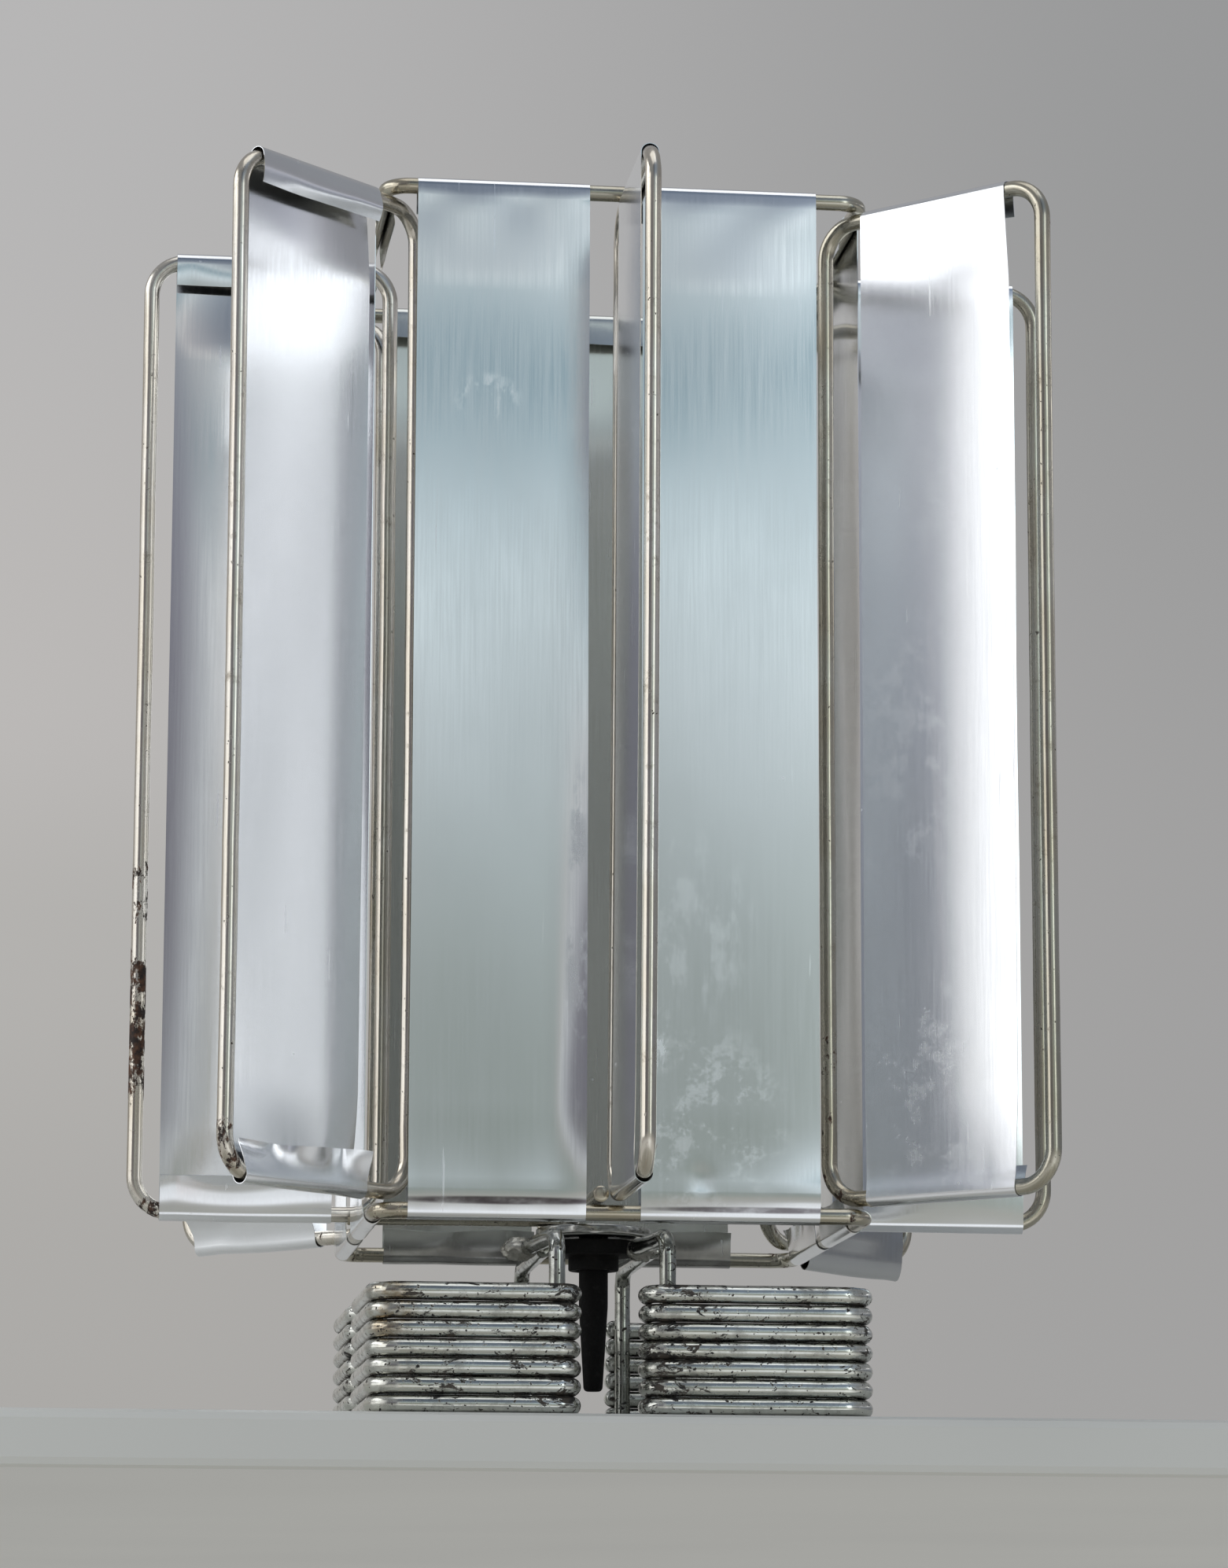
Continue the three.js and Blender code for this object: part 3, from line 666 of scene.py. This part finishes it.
def rod_piece(name, node, a, b, radius, material, body, seed):
    pts = resample([Vector(a), Vector(b)], False, 3 * MM)
    w = wobble(seed, 3)
    L = (Vector(b) - Vector(a)).length
    pts = [p + Vector((0, 0, 0.05 * MM * float(w(i / len(pts))))) for i, p in enumerate(pts)]
    v, f = tube_mesh(pts, radius, False, 20, seed=seed)
    return mesh_object(name, v, f, material, body, node)


lo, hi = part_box("spoke_left")
spoke_mat = plated_wire("wire_spoke", OLD, OLD_WARM, [(tuple(lo), (12 * M, 8 * M, 4 * M), 0.7)], 0.9, 0.22)
rod_piece("wire_spoke_left", "spoke_left", (lo.x + 0.2 * M, hi.y - WIRE_R - 0.05 * M, (lo.z + hi.z) / 2), (hi.x - 0.2 * M, lo.y + WIRE_R + 0.05 * M, (lo.z + hi.z) / 2),
          WIRE_R, spoke_mat, "rotor", 31)
lo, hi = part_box("cross_bar")
rod_piece("wire_cross_bar", "cross_bar", ((lo.x + hi.x) / 2, lo.y + 0.3 * M, (lo.z + hi.z) / 2), ((lo.x + hi.x) / 2, hi.y - 0.3 * M, (lo.z + hi.z) / 2),
          WIRE_R, spoke_mat, "rotor", 32)

# foils ------------------------------------------------------------------
zb_l, zt_l = LOOP_Z
foil_plain = foil_material("foil_plain")
front_y = -RING_HALF - WIRE_R
foil_front = foil_material("foil_front", smudges=[
    ((-18.0 * M, front_y, 129.5 * M), (5.0 * M, 3 * M, 3.6 * M), 0.55),
    ((9.0 * M, front_y, 62 * M), (9 * M, 3 * M, 16 * M), 0.30),
    ((4.6 * M, front_y, 47 * M), (3.5 * M, 3 * M, 5 * M), 0.8),
    ((-6.0 * M, front_y, 60 * M), (1.8 * M, 3 * M, 26 * M), 0.75)],
    worn=[((10 * M, front_y, 36 * M), (13 * M, 3 * M, 16 * M), 0.5)],
    # painted shade along the creases just above the bottom wire
    crease_shades=[((-15 * M, front_y, RING_BOTTOM + 1.25 * M), (18 * M, 4 * M, 0.65 * M), 1.0), ((17 * M, front_y, RING_BOTTOM + 0.5 * M), (18 * M, 4 * M, 0.5 * M), 0.9)])
foil_d = foil_material("foil_front_right", smudges=[((36 * M, -36 * M, 120 * M), (10 * M, 10 * M, 14 * M), 0.2)],
                       worn=[((38 * M, -38 * M, 42 * M), (12 * M, 12 * M, 18 * M), 0.35), ((36 * M, -36 * M, 84 * M), (10 * M, 10 * M, 22 * M), 0.3)], aniso=0.6, roughness=0.18)
foil_c = foil_material("foil_front_left", aniso=0.35, roughness=0.17)
foil_a = foil_material("foil_front_loop", roughness=0.16, aniso=0.4, bump=0.012)
# painted shade: a darker, duller copy of the same foil for the back-right vane, which lies in shade inside the cage
foil_painted_shade = foil_material("foil_back", base=(0.50, 0.51, 0.51), roughness=0.17, aniso=0.5, bump=0.01)
# painted shade: a darker, duller copy of the same foil for the back sheets, with a painted shade band along their
# bottom crease
foil_back_sheet = foil_material("foil_back_sheet", base=(0.74, 0.76, 0.72), roughness=0.22, aniso=0.4, bump=0.005,
                                crease_shades=[((0, -front_y, RING_BOTTOM - 0.5 * M), (45 * M, 8 * M, 4.5 * M), 0.62)])

LOOP_FOILS = {
    "front": dict(bow=0.25, crinkle_bottom=0.1, flap_top=1.6, flare_top=0.0, crinkle_top=0.0, seed=3),
    "front_left": dict(bow=0.3, tilt=2.1, curl=(0.5, 0), flap_top=3.5, flap_bottom=4.4, flare_top=0.0, flare_bottom=-0.14, crinkle_bottom=0.26, crinkle_top=0.03, flap_tilt=1.5, flap_lean=1.05, puff=0.6, seed=13),
    "left": dict(bow=-0.75, flap_top=3.6, flare_top=-0.12, flap_bottom=4.4, flare_bottom=0.9, crinkle_bottom=0.14, seed=21, bow_shift=0.0),
    "front_right": dict(bow=-0.05, roll=(0.24, -1.3), flap_top=3.2, flap_bottom=3.0, crinkle_bottom=0.06, crinkle_top=0.02, seed=33, tuck=0.4),
    "right": dict(bow=0.75, flap_bottom=3.6, crinkle_bottom=0.22, seed=41),
    "back_right": dict(bow=0.4, sag=2.2, crinkle_bottom=0.3, flap_bottom=4.6, flare_bottom=1.2, seed=53),
    "back": dict(bow=0.3, seed=61),
    "back_left": dict(bow=-0.5, flap_bottom=4.4, flare_bottom=1.2, crinkle_bottom=0.42, seed=71),
}
for where, P in LOOP_FOILS.items():
    u, t = axes(LOOPS[where])
    node = "foil_loop_" + where
    me = frame["nodes"][node].data
    rad = [v.co.x * u.x + v.co.y * u.y for v in me.vertices]
    mat = {"front": foil_a, "back": foil_a, "front_left": foil_c, "front_right": foil_d, "back_right": foil_painted_shade}.get(where, foil_plain)
    foil_piece("foil_vane_" + where, node, mat, u, -t, min(rad), max(rad), zb_l, zt_l,
               shift=(lambda z, t=t, where=where: t * lean_at(where, min(max(z, LOOP_Z[0]), LOOP_Z[1]))), **P)

FACE_FOILS = {
    ("front", 1): dict(bow=0.18, bow_shift=-0.1, crinkle_bottom=0.03, curl=(0, 0.78), seed=103, flap_bottom=3.0, tuck=-0.42),
    ("front", 2): dict(bow=0.22, crinkle_bottom=0.03, seed=111, tuck=-0.5, dents=[(0.335, 4.4, -0.20, 0.055, 0.9), (1.0, 0.0, 0.2, 0.3, 6.0), (0.0, 0.0, -0.2, 0.3, 6.0)]),
    ("right", 1): dict(bow=0.3, seed=121), ("right", 2): dict(bow=0.3, seed=127),
    ("back", 1): dict(bow=0.25, seed=131), ("back", 2): dict(bow=0.25, seed=137),
    ("left", 1): dict(bow=0.35, seed=141), ("left", 2): dict(bow=0.9, seed=149, waves=0.12),
}
SIDE_DEG = {"front": -90, "right": 0, "back": 90, "left": 180}
for (where, i), P in FACE_FOILS.items():
    u, t = axes(SIDE_DEG[where])
    node = "foil_%s_%d" % (where, i)
    me = frame["nodes"][node].data
    along = [v.co.x * t.x + v.co.y * t.y for v in me.vertices]
    mat = {"front": foil_front, "back": foil_back_sheet}.get(where, foil_plain)
    foil_piece("foil_sheet_%s_%d" % (where, i), node, mat, t, u, min(along), max(along), RING_BOTTOM, RING_TOP,
               offset=RING_HALF / MM - 0.05, **P)


# ---------------------------------------------------------------- base: bent bars
stack_mats = {
    "front_left": tinned_wire("bars_front_left", flake=0.80, pitch=BAR_PITCH,
                              zones=[((-8 * M, -31 * M, 9 * M), (9 * M, 6 * M, 12 * M), 0.55), ((-28 * M, -31 * M, 12 * M), (6 * M, 4 * M, 5 * M), 0.6)],
                              stains=[((-30 * M, -32 * M, 13 * M), (5 * M, 4 * M, 6 * M), 1.0)]),
    "front_right": tinned_wire("bars_front_right", flake=0.78, pitch=BAR_PITCH,
                               zones=[((7 * M, -30 * M, 9 * M), (8 * M, 6 * M, 14 * M), 0.5), ((31 * M, -30 * M, 9 * M), (3 * M, 5 * M, 12 * M), 0.5)]),
    "back_right": tinned_wire("bars_back_right", flake=1.05, roughness=0.2, pitch=BAR_PITCH),
    "back_left": tinned_wire("bars_back_left", flake=0.85, roughness=0.18, pitch=BAR_PITCH),
}


def stack_piece(name, turn, material):
    rot = Matrix.Rotation(math.radians(turn), 3, "Z")
    verts, faces = [], []
    rs = np.random.RandomState(200 + int(turn))
    stub = 3.5 * MM
    for i in range(BARS):
        z = BAR_R + i * BAR_PITCH
        d = rs.uniform(-1, 1, 6) * 0.09 * MM
        h = BASE_HALF - 0.09 * MM
        sx, sy = SHORT_END + BAR_R - 0.0 * MM, LONG_END + BAR_R - 0.0 * MM
        corners = [
            Vector((-sx + min(0, d[0]), -h + stub + d[1], z)),
            Vector((-sx + min(0, d[0]), -h, z)),
            Vector((-h, -h, z)),
            Vector((-h, -sy + min(0, d[2]), z)),
            Vector((-h + stub + d[3], -sy + min(0, d[2]), z)),
        ]
        pts = resample(fillet(corners, [2.05 * MM, 3.2 * MM, 2.05 * MM], False, 10), False, 2.5 * MM)
        bend = wobble(int(turn) + i * 5 + 1, 3, 0.5, 1.6)
        pts = [rot @ (p + Vector((0, 0, (0.03 * MM if 0 < i < BARS - 1 else 0.0) * float(bend(j / len(pts)))))) for j, p in enumerate(pts)]
        v, f = tube_mesh(pts, BAR_R * 0.985, False, 22, seed=int(turn) + i, rough=0.02, dome=0.8)
        off = len(verts)
        verts += v
        faces += [tuple(q + off for q in g) for g in f]
    return mesh_object("bars_" + name, verts, faces, material, "base", "bar_stack_" + name)


for name, turn in (("front_left", 0), ("front_right", 90), ("back_right", 180), ("back_left", 270)):
    stack_piece(name, turn, stack_mats[name])

# posts: an upright wire, its top bent in over the bars towards the bush
POST_R = 1.07 * MM
post_mat = tinned_wire("post_wire", base=(0.50, 0.515, 0.49), warm=(0.34, 0.35, 0.31), flake=1.0, roughness=0.12)


def post_piece(name):
    node = "post_" + name
    me = frame["nodes"][node].data
    low = [v.co for v in me.vertices if v.co.z < 3 * MM]
    foot = Vector((sum(c.x for c in low) / len(low), sum(c.y for c in low) / len(low), 0))
    lo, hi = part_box(node)
    top = hi.z - 1.08 * MM
    far = max(me.vertices, key=lambda v: (Vector((v.co.x, v.co.y, 0)) - foot).length).co
    rim = [v.co for v in me.vertices if (Vector((v.co.x, v.co.y, 0)) - foot).length > (Vector((far.x, far.y, 0)) - foot).length - 0.6 * MM]
    tip = Vector((sum(c.x for c in rim) / len(rim), sum(c.y for c in rim) / len(rim), 0))
    d = (tip - foot).normalized()
    pts = [foot + Vector((0, 0, lo.z + 0.3 * MM)), foot + Vector((0, 0, top)), tip - d * 0.3 * MM + Vector((0, 0, top))]
    pts = resample(fillet(pts, [2.4 * MM], False, 12), False, 2 * MM)
    w = wobble(len(name) * 3, 3)
    pts = [p + Vector((0.05 * MM * float(w(i / len(pts))), 0, 0)) for i, p in enumerate(pts)]
    v, f = tube_mesh(pts, POST_R, False, 22, seed=len(name), rough=0.03, dome=0.8)
    mesh_object("post_wire_" + name, v, f, post_mat, "base", node)
    return foot, top, d


for name in ("front_left", "front_right", "back_left", "back_right"):
    post_piece(name)


# solder lumps: lumpy blobs in the CAD lumps' own boxes
def blob(name, node, material, body, seed):
    lo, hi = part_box(node)
    c, s = (lo + hi) / 2, (hi - lo) / 2
    f = field(seed, 9, 1.4, 1.4)
    g = field(seed + 9, 9, 3.0, 3.0)
    rows, cols = 30, 44
    verts, faces = [], []
    for i in range(1, rows):
        th = math.pi * i / rows
        for j in range(cols):
            ph = 2 * math.pi * j / cols
            d = Vector((math.sin(th) * math.cos(ph), math.sin(th) * math.sin(ph), math.cos(th)))
            q = 0.87 + 0.10 * float(f(d.x + 0.3 * d.z, d.y - 0.4 * d.z)) + 0.05 * float(g(d.x - d.z, d.y + 0.7 * d.z))
            q = min(q, 0.995)
            verts.append(Vector((c.x + s.x * d.x * q, c.y + s.y * d.y * q, c.z + s.z * d.z * q)))
    a = len(verts)
    verts += [Vector((c.x, c.y, c.z + s.z * 0.88)), Vector((c.x, c.y, c.z - s.z * 0.88))]
    for i in range(rows - 2):
        for j in range(cols):
            p, q = i * cols + j, i * cols + (j + 1) % cols
            faces.append((p, p + cols, q + cols, q))
    for j in range(cols):
        faces.append((a, j, (j + 1) % cols))
        e = (rows - 2) * cols
        faces.append((a + 1, e + (j + 1) % cols, e + j))
    return mesh_object(name, verts, faces, material, body, node, sharp=80)


solder = solder_material("solder")
blob("solder_blob_left", "solder_left", solder, "base", 5)
blob("solder_blob_right", "solder_right", solder, "base", 8)


# turned parts: profile of (radius, z) round the axis, closed loop or open onto the axis
def turned(name, node, profile, material, body, segs=72, closed=True, seed=0, rough=0.0):
    verts, faces = [], []
    n = len(profile)
    rs = np.random.RandomState(seed)
    ph = rs.uniform(0, 6.28, 3)
    for k in range(segs):
        a = 2 * math.pi * k / segs
        for (r, z) in profile:
            q = r * (1 - rough * (0.5 + 0.5 * math.sin(3 * a + ph[0]) * math.sin(5 * a + ph[1])))
            verts.append(Vector((q * math.cos(a), q * math.sin(a), z)))
    for k in range(segs):
        b = ((k + 1) % segs) * n
        a = k * n
        for i in range(n if closed else n - 1):
            j = (i + 1) % n
            faces.append((a + i, b + i, b + j, a + j))
    if not closed:
        c = len(verts)
        verts += [Vector((0, 0, profile[0][1])), Vector((0, 0, profile[-1][1]))]
        for k in range(segs):
            a, b = k * n, ((k + 1) % segs) * n
            faces.append((c, b, a))
            faces.append((c + 1, a + n - 1, b + n - 1))
    return mesh_object(name, verts, faces, material, body, node, sharp=35)


def rounded(profile, r, closed=True, steps=4):
    """Rounds every corner of a lathe profile."""
    out = []
    n = len(profile)
    for i, (x, z) in enumerate(profile):
        if not closed and i in (0, n - 1):
            out.append((x, z))
            continue
        p = Vector((x, z))
        a = Vector(profile[i - 1]) - p
        b = Vector(profile[(i + 1) % n]) - p
        q = min(r, a.length * 0.45, b.length * 0.45)
        s, e = p + a.normalized() * q, p + b.normalized() * q
        for k in range(steps + 1):
            t = k / steps
            out.append(tuple(s * (1 - t) ** 2 + p * 2 * t * (1 - t) + e * t * t))
    return out


black = black_material("black_moulding")
shaft_black = black_material("black_spindle", 0.006)
disc_mat = plated_wire("disc_plate", (0.44, 0.445, 0.425), (0.36, 0.345, 0.30), [((0, -6 * M, 25 * M), (8 * M, 4 * M, 3 * M), 0.3)], 0.8, 0.15)
lo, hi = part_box("spindle_bush")
R = hi.x
bush_mid = lo.z + (22.5 - 20.55) * M
turned("bush_turned", "spindle_bush", rounded([(2.2 * M, lo.z), (3.3 * M, lo.z), (3.3 * M, bush_mid), (R, bush_mid), (R, hi.z), (2.2 * M, hi.z)], 0.28 * M), black, "base")
lo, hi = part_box("hub_disc")
turned("disc_turned", "hub_disc", rounded([(2.2 * M, lo.z), (hi.x, lo.z), (hi.x, hi.z), (2.2 * M, hi.z)], 0.4 * M), disc_mat, "rotor", rough=0.012, seed=3)
lo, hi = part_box("spindle")
turned("spindle_turned", "spindle", rounded([(0.02 * M, lo.z), (0.95 * M, lo.z), (1.25 * M, lo.z + 0.35 * M), (1.9 * M, lo.z + 11 * M), (1.9 * M, hi.z), (0.02 * M, hi.z)], 0.25 * M, False),
       shaft_black, "rotor", closed=False)


# ---------------------------------------------------------------- shelf, light, camera
def shelf():
    n = Nodes("shelf_pale")
    cloud = n.noise(6, 3, 0.5)
    colour = n.mix(n.remap(cloud, 0.3, 0.7), (0.735, 0.74, 0.70), (0.68, 0.685, 0.65))
    n.set(Base_Color=colour, Roughness=0.35)
    x, y0, y1, z = 0.62, -0.0352, 1.05, -0.0072
    profile = []
    b = 0.0012
    for (py, pz) in [(y0, z + b), (y0, -b), (y0 + 0.3 * b, -0.3 * b), (y0 + b, 0.0), (y1, 0.0), (y1, z), (y0 + b, z), (y0 + 0.3 * b, z + 0.3 * b)]:
        profile.append((py, pz))
    verts = [Vector((-x, py, pz)) for py, pz in profile] + [Vector((x, py, pz)) for py, pz in profile]
    m = len(profile)
    faces = [(i, (i + 1) % m, m + (i + 1) % m, m + i) for i in range(m)] + [tuple(reversed(range(m))), tuple(range(m, 2 * m))]
    me = bpy.data.meshes.new("shelf")
    me.from_pydata([tuple(v) for v in verts], [], faces)
    me.materials.append(n.mat)
    ob = bpy.data.objects.new("shelf", me)
    scene.collection.objects.link(ob)


shelf()


def panel(name, where, aim, size, radiance, colour=(1, 1, 1)):
    """A soft box: an area light of the given width and height aimed at a point."""
    data = bpy.data.lights.new(name, "AREA")
    data.shape = "RECTANGLE"
    data.size, data.size_y = size
    data.energy = radiance * math.pi * size[0] * size[1]
    data.color = colour
    ob = bpy.data.objects.new(name, data)
    ob.location = where
    ob.rotation_euler = (Vector(aim) - Vector(where)).to_track_quat("-Z", "Y").to_euler()
    ob.visible_camera = False
    scene.collection.objects.link(ob)


def towards(azimuth, elevation, distance, centre=(0, 0, 0.09)):
    """azimuth 0 is +X, 90 is +Y."""
    a, e = math.radians(azimuth), math.radians(elevation)
    return Vector(centre) + Vector((math.cos(a) * math.cos(e), math.sin(a) * math.cos(e), math.sin(e))) * distance


C0 = (0, 0, 0.09)
panel("soft_right", towards(22, 15.2, 1.5), C0, (0.5, 0.09), 1.6)
panel("soft_right_low", towards(-13, 16.4, 1.5), C0, (0.12, 0.05), 1.7)
panel("soft_left_high", (-0.75, 0.02, 0.56), (0, 0, 0.2), (0.62, 0.36), 1.9)
panel("soft_left_a", towards(181, 5.6, 1.4), C0, (0.76, 0.52), 1.08)
panel("soft_left_b", towards(209, 13, 1.4), C0, (0.66, 0.95), 1.35)
panel("soft_right_front", towards(-60, 10, 1.6), C0, (0.36, 0.8), 1.5, (0.95, 1.0, 1.0))
panel("soft_top", (0.1, -0.25, 1.5), C0, (1.1, 1.1), 0.9)


def world():
    w = bpy.data.worlds.new("studio")
    scene.world = w
    w.use_nodes = True
    t = w.node_tree
    t.nodes.clear()
    out = t.nodes.new("ShaderNodeOutputWorld")
    bg = t.nodes.new("ShaderNodeBackground")
    t.links.new(bg.outputs[0], out.inputs[0])
    co = t.nodes.new("ShaderNodeTexCoord")
    sep = t.nodes.new("ShaderNodeSeparateXYZ")
    t.links.new(co.outputs["Generated"], sep.inputs[0])

    def ramp(stops):
        mp = t.nodes.new("ShaderNodeMapRange")
        mp.inputs["From Min"].default_value = -1.0
        mp.inputs["From Max"].default_value = 1.0
        t.links.new(sep.outputs["Z"], mp.inputs["Value"])
        r = t.nodes.new("ShaderNodeValToRGB")
        r.color_ramp.interpolation = "EASE"
        e = r.color_ramp.elements
        while len(e) > 1:
            e.remove(e[-1])
        for i, (z, c) in enumerate(stops):
            p = (z + 1.0) / 2.0
            el = e[0] if i == 0 else e.new(p)
            el.position = p
            el.color = (*c, 1)
        t.links.new(mp.outputs[0], r.inputs[0])
        return r.outputs[0]

    def weight(axis, sign, a, b):
        mp = t.nodes.new("ShaderNodeMapRange")
        mp.interpolation_type = "SMOOTHSTEP"
        mp.inputs["From Min"].default_value = a * sign
        mp.inputs["From Max"].default_value = b * sign
        t.links.new(sep.outputs[axis], mp.inputs["Value"])
        return mp.outputs[0]

    def lift(c, f, k):
        m = t.nodes.new("ShaderNodeMath")
        m.operation = "MULTIPLY_ADD"
        t.links.new(f, m.inputs[0])
        m.inputs[1].default_value, m.inputs[2].default_value = k, 1.0
        v = t.nodes.new("ShaderNodeVectorMath")
        v.operation = "SCALE"
        t.links.new(c, v.inputs[0])
        t.links.new(m.outputs[0], v.inputs["Scale"])
        return v.outputs[0]

    def mix(f, a, b):
        m = t.nodes.new("ShaderNodeMix")
        m.data_type = "RGBA"
        t.links.new(f, m.inputs["Factor"])
        t.links.new(a, m.inputs[6])
        t.links.new(b, m.inputs[7])
        return m.outputs[2]

    S = lambda d: math.sin(math.radians(d))
    front = ramp([(-1.0, (.30, .30, .28)), (-0.62, (.40, .40, .38)), (-0.5, (.80, .82, .84)), (-0.28, (.90, .92, .95)), (-0.14, (.42, .42, .40)), (-0.06, (.37, .37, .34)),
                  (S(3), (.30, .325, .30)), (S(6.5), (.27, .31, .29)), (S(7.8), (.31, .345, .33)),
                  (S(9.6), (.40, .45, .45)), (S(11.4), (.56, .62, .64)), (S(12.9), (.74, .84, .87)), (S(14.0), (.46, .56, .60)), (S(14.9), (.21, .31, .36)),
                  (S(15.8), (.21, .31, .36)), (S(16.5), (.745, .81, .82)), (S(17.0), (.62, .67, .685)), (S(18), (.36, .41, .45)), (S(22), (.17, .20, .25)), (S(40), (.12, .15, .20)),
                  (S(60), (.13, .15, .19)), (1.0, (.3, .32, .35))])
    warmer = t.nodes.new("ShaderNodeVectorMath")
    warmer.operation = "MULTIPLY"
    t.links.new(front, warmer.inputs[0])
    warmer.inputs[1].default_value = (1.15, 1.0, 0.95)
    front = mix(weight("X", -1, 0.01, 0.06), front, warmer.outputs[0])
    front = lift(front, weight("X", 1, 0.11, 0.30), 0.26)
    both = t.nodes.new("ShaderNodeMath")
    both.operation = "MULTIPLY"
    t.links.new(weight("X", 1, 0.11, 0.20), both.inputs[0])
    t.links.new(weight("Z", 1, S(16.0), S(16.6)), both.inputs[1])
    front = lift(front, both.outputs[0], 0.8)
    below = [(-1.0, (.30, .30, .28)), (-0.62, (.38, .38, .36)), (-0.5, (.60, .60, .60)), (-0.28, (.62, .62, .62)), (-0.14, (.40, .39, .38))]
    back_l = ramp(below + [(S(0), (.385, .37, .355)), (S(5), (.42, .41, .395)), (S(8.7), (.455, .445, .43)), (S(11.4), (.50, .485, .475)), (S(18), (.475, .47, .47)), (S(40), (.36, .36, .37)), (1.0, (.4, .4, .42))])
    back_r = ramp(below + [(S(0), (.37, .365, .36)), (S(9), (.355, .352, .352)), (S(18), (.31, .312, .315)), (S(40), (.30, .30, .31)), (1.0, (.4, .4, .42))])
    right = ramp(below + [(S(2), (.20, .21, .23)), (S(6), (.20, .215, .245)), (S(9), (.245, .255, .29)), (S(12), (.34, .35, .40)), (S(14), (.46, .47, .54)), (S(15.4), (.60, .60, .65)), (S(16.2), (.52, .52, .56)), (S(16.7), (.42, .42, .45)), (S(17.1), (.28, .28, .30)), (S(18.5), (.27, .27, .29)), (S(40), (.28, .29, .31)), (1.0, (.4, .4, .42))])
    left = ramp(below + [(S(2), (.17, .17, .18)), (S(10), (.17, .165, .19)), (S(14), (.20, .195, .24)), (S(17), (.24, .25, .29)), (S(20), (.28, .28, .31)), (S(40), (.28, .29, .31)), (1.0, (.4, .4, .42))])
    back = mix(weight("X", 1, -0.02, 0.26), back_l, back_r)
    c = mix(weight("Y", 1, -0.35, 0.35), front, back)
    c = mix(weight("X", 1, 0.4, 0.85), c, right)
    lobe = t.nodes.new("ShaderNodeMath")
    lobe.operation = "MULTIPLY"
    t.links.new(weight("X", -1, 0.05, 0.10), lobe.inputs[0])
    t.links.new(weight("Z", -1, -0.262, -0.215), lobe.inputs[1])
    pale = t.nodes.new("ShaderNodeRGB")
    pale.outputs[0].default_value = (0.60, 0.62, 0.64, 1)
    front_only = t.nodes.new("ShaderNodeMath")
    front_only.operation = "MULTIPLY"
    t.links.new(lobe.outputs[0], front_only.inputs[0])
    t.links.new(weight("Y", -1, 0.2, 0.6), front_only.inputs[1])
    c = mix(front_only.outputs[0], c, pale.outputs[0])
    sideways = t.nodes.new("ShaderNodeMath")
    sideways.operation = "MULTIPLY"
    t.links.new(weight("X", -1, 0.09, 0.21), sideways.inputs[0])
    t.links.new(weight("Y", -1, -0.75, 0.1), sideways.inputs[1])
    c = mix(sideways.outputs[0], c, left)
    t.links.new(c, bg.inputs[0])
    bg.inputs[1].default_value = 1.0


world()

# camera: below the cage, looking up at it, a long lens
psi, theta, rho = 0.1228, 0.1833, 0.0031
F = Vector((math.sin(psi) * math.cos(theta), math.cos(psi) * math.cos(theta), math.sin(theta)))
Rt = Vector((math.cos(psi), -math.sin(psi), 0))
Up = Rt.cross(F)
R2 = Rt * math.cos(rho) + Up * math.sin(rho)
U2 = Up * math.cos(rho) - Rt * math.sin(rho)
cam = bpy.data.cameras.new("camera")
cam.sensor_fit = "AUTO"
cam.sensor_width = 36
cam.lens = 116.72
cam.clip_start, cam.clip_end = 0.01, 50
cam_ob = bpy.data.objects.new("camera", cam)
cam_ob.matrix_world = Matrix(((R2.x, U2.x, -F.x, -0.07908), (R2.y, U2.y, -F.y, -0.66110), (R2.z, U2.z, -F.z, -0.03799), (0, 0, 0, 1)))
scene.collection.objects.link(cam_ob)
scene.camera = cam_ob
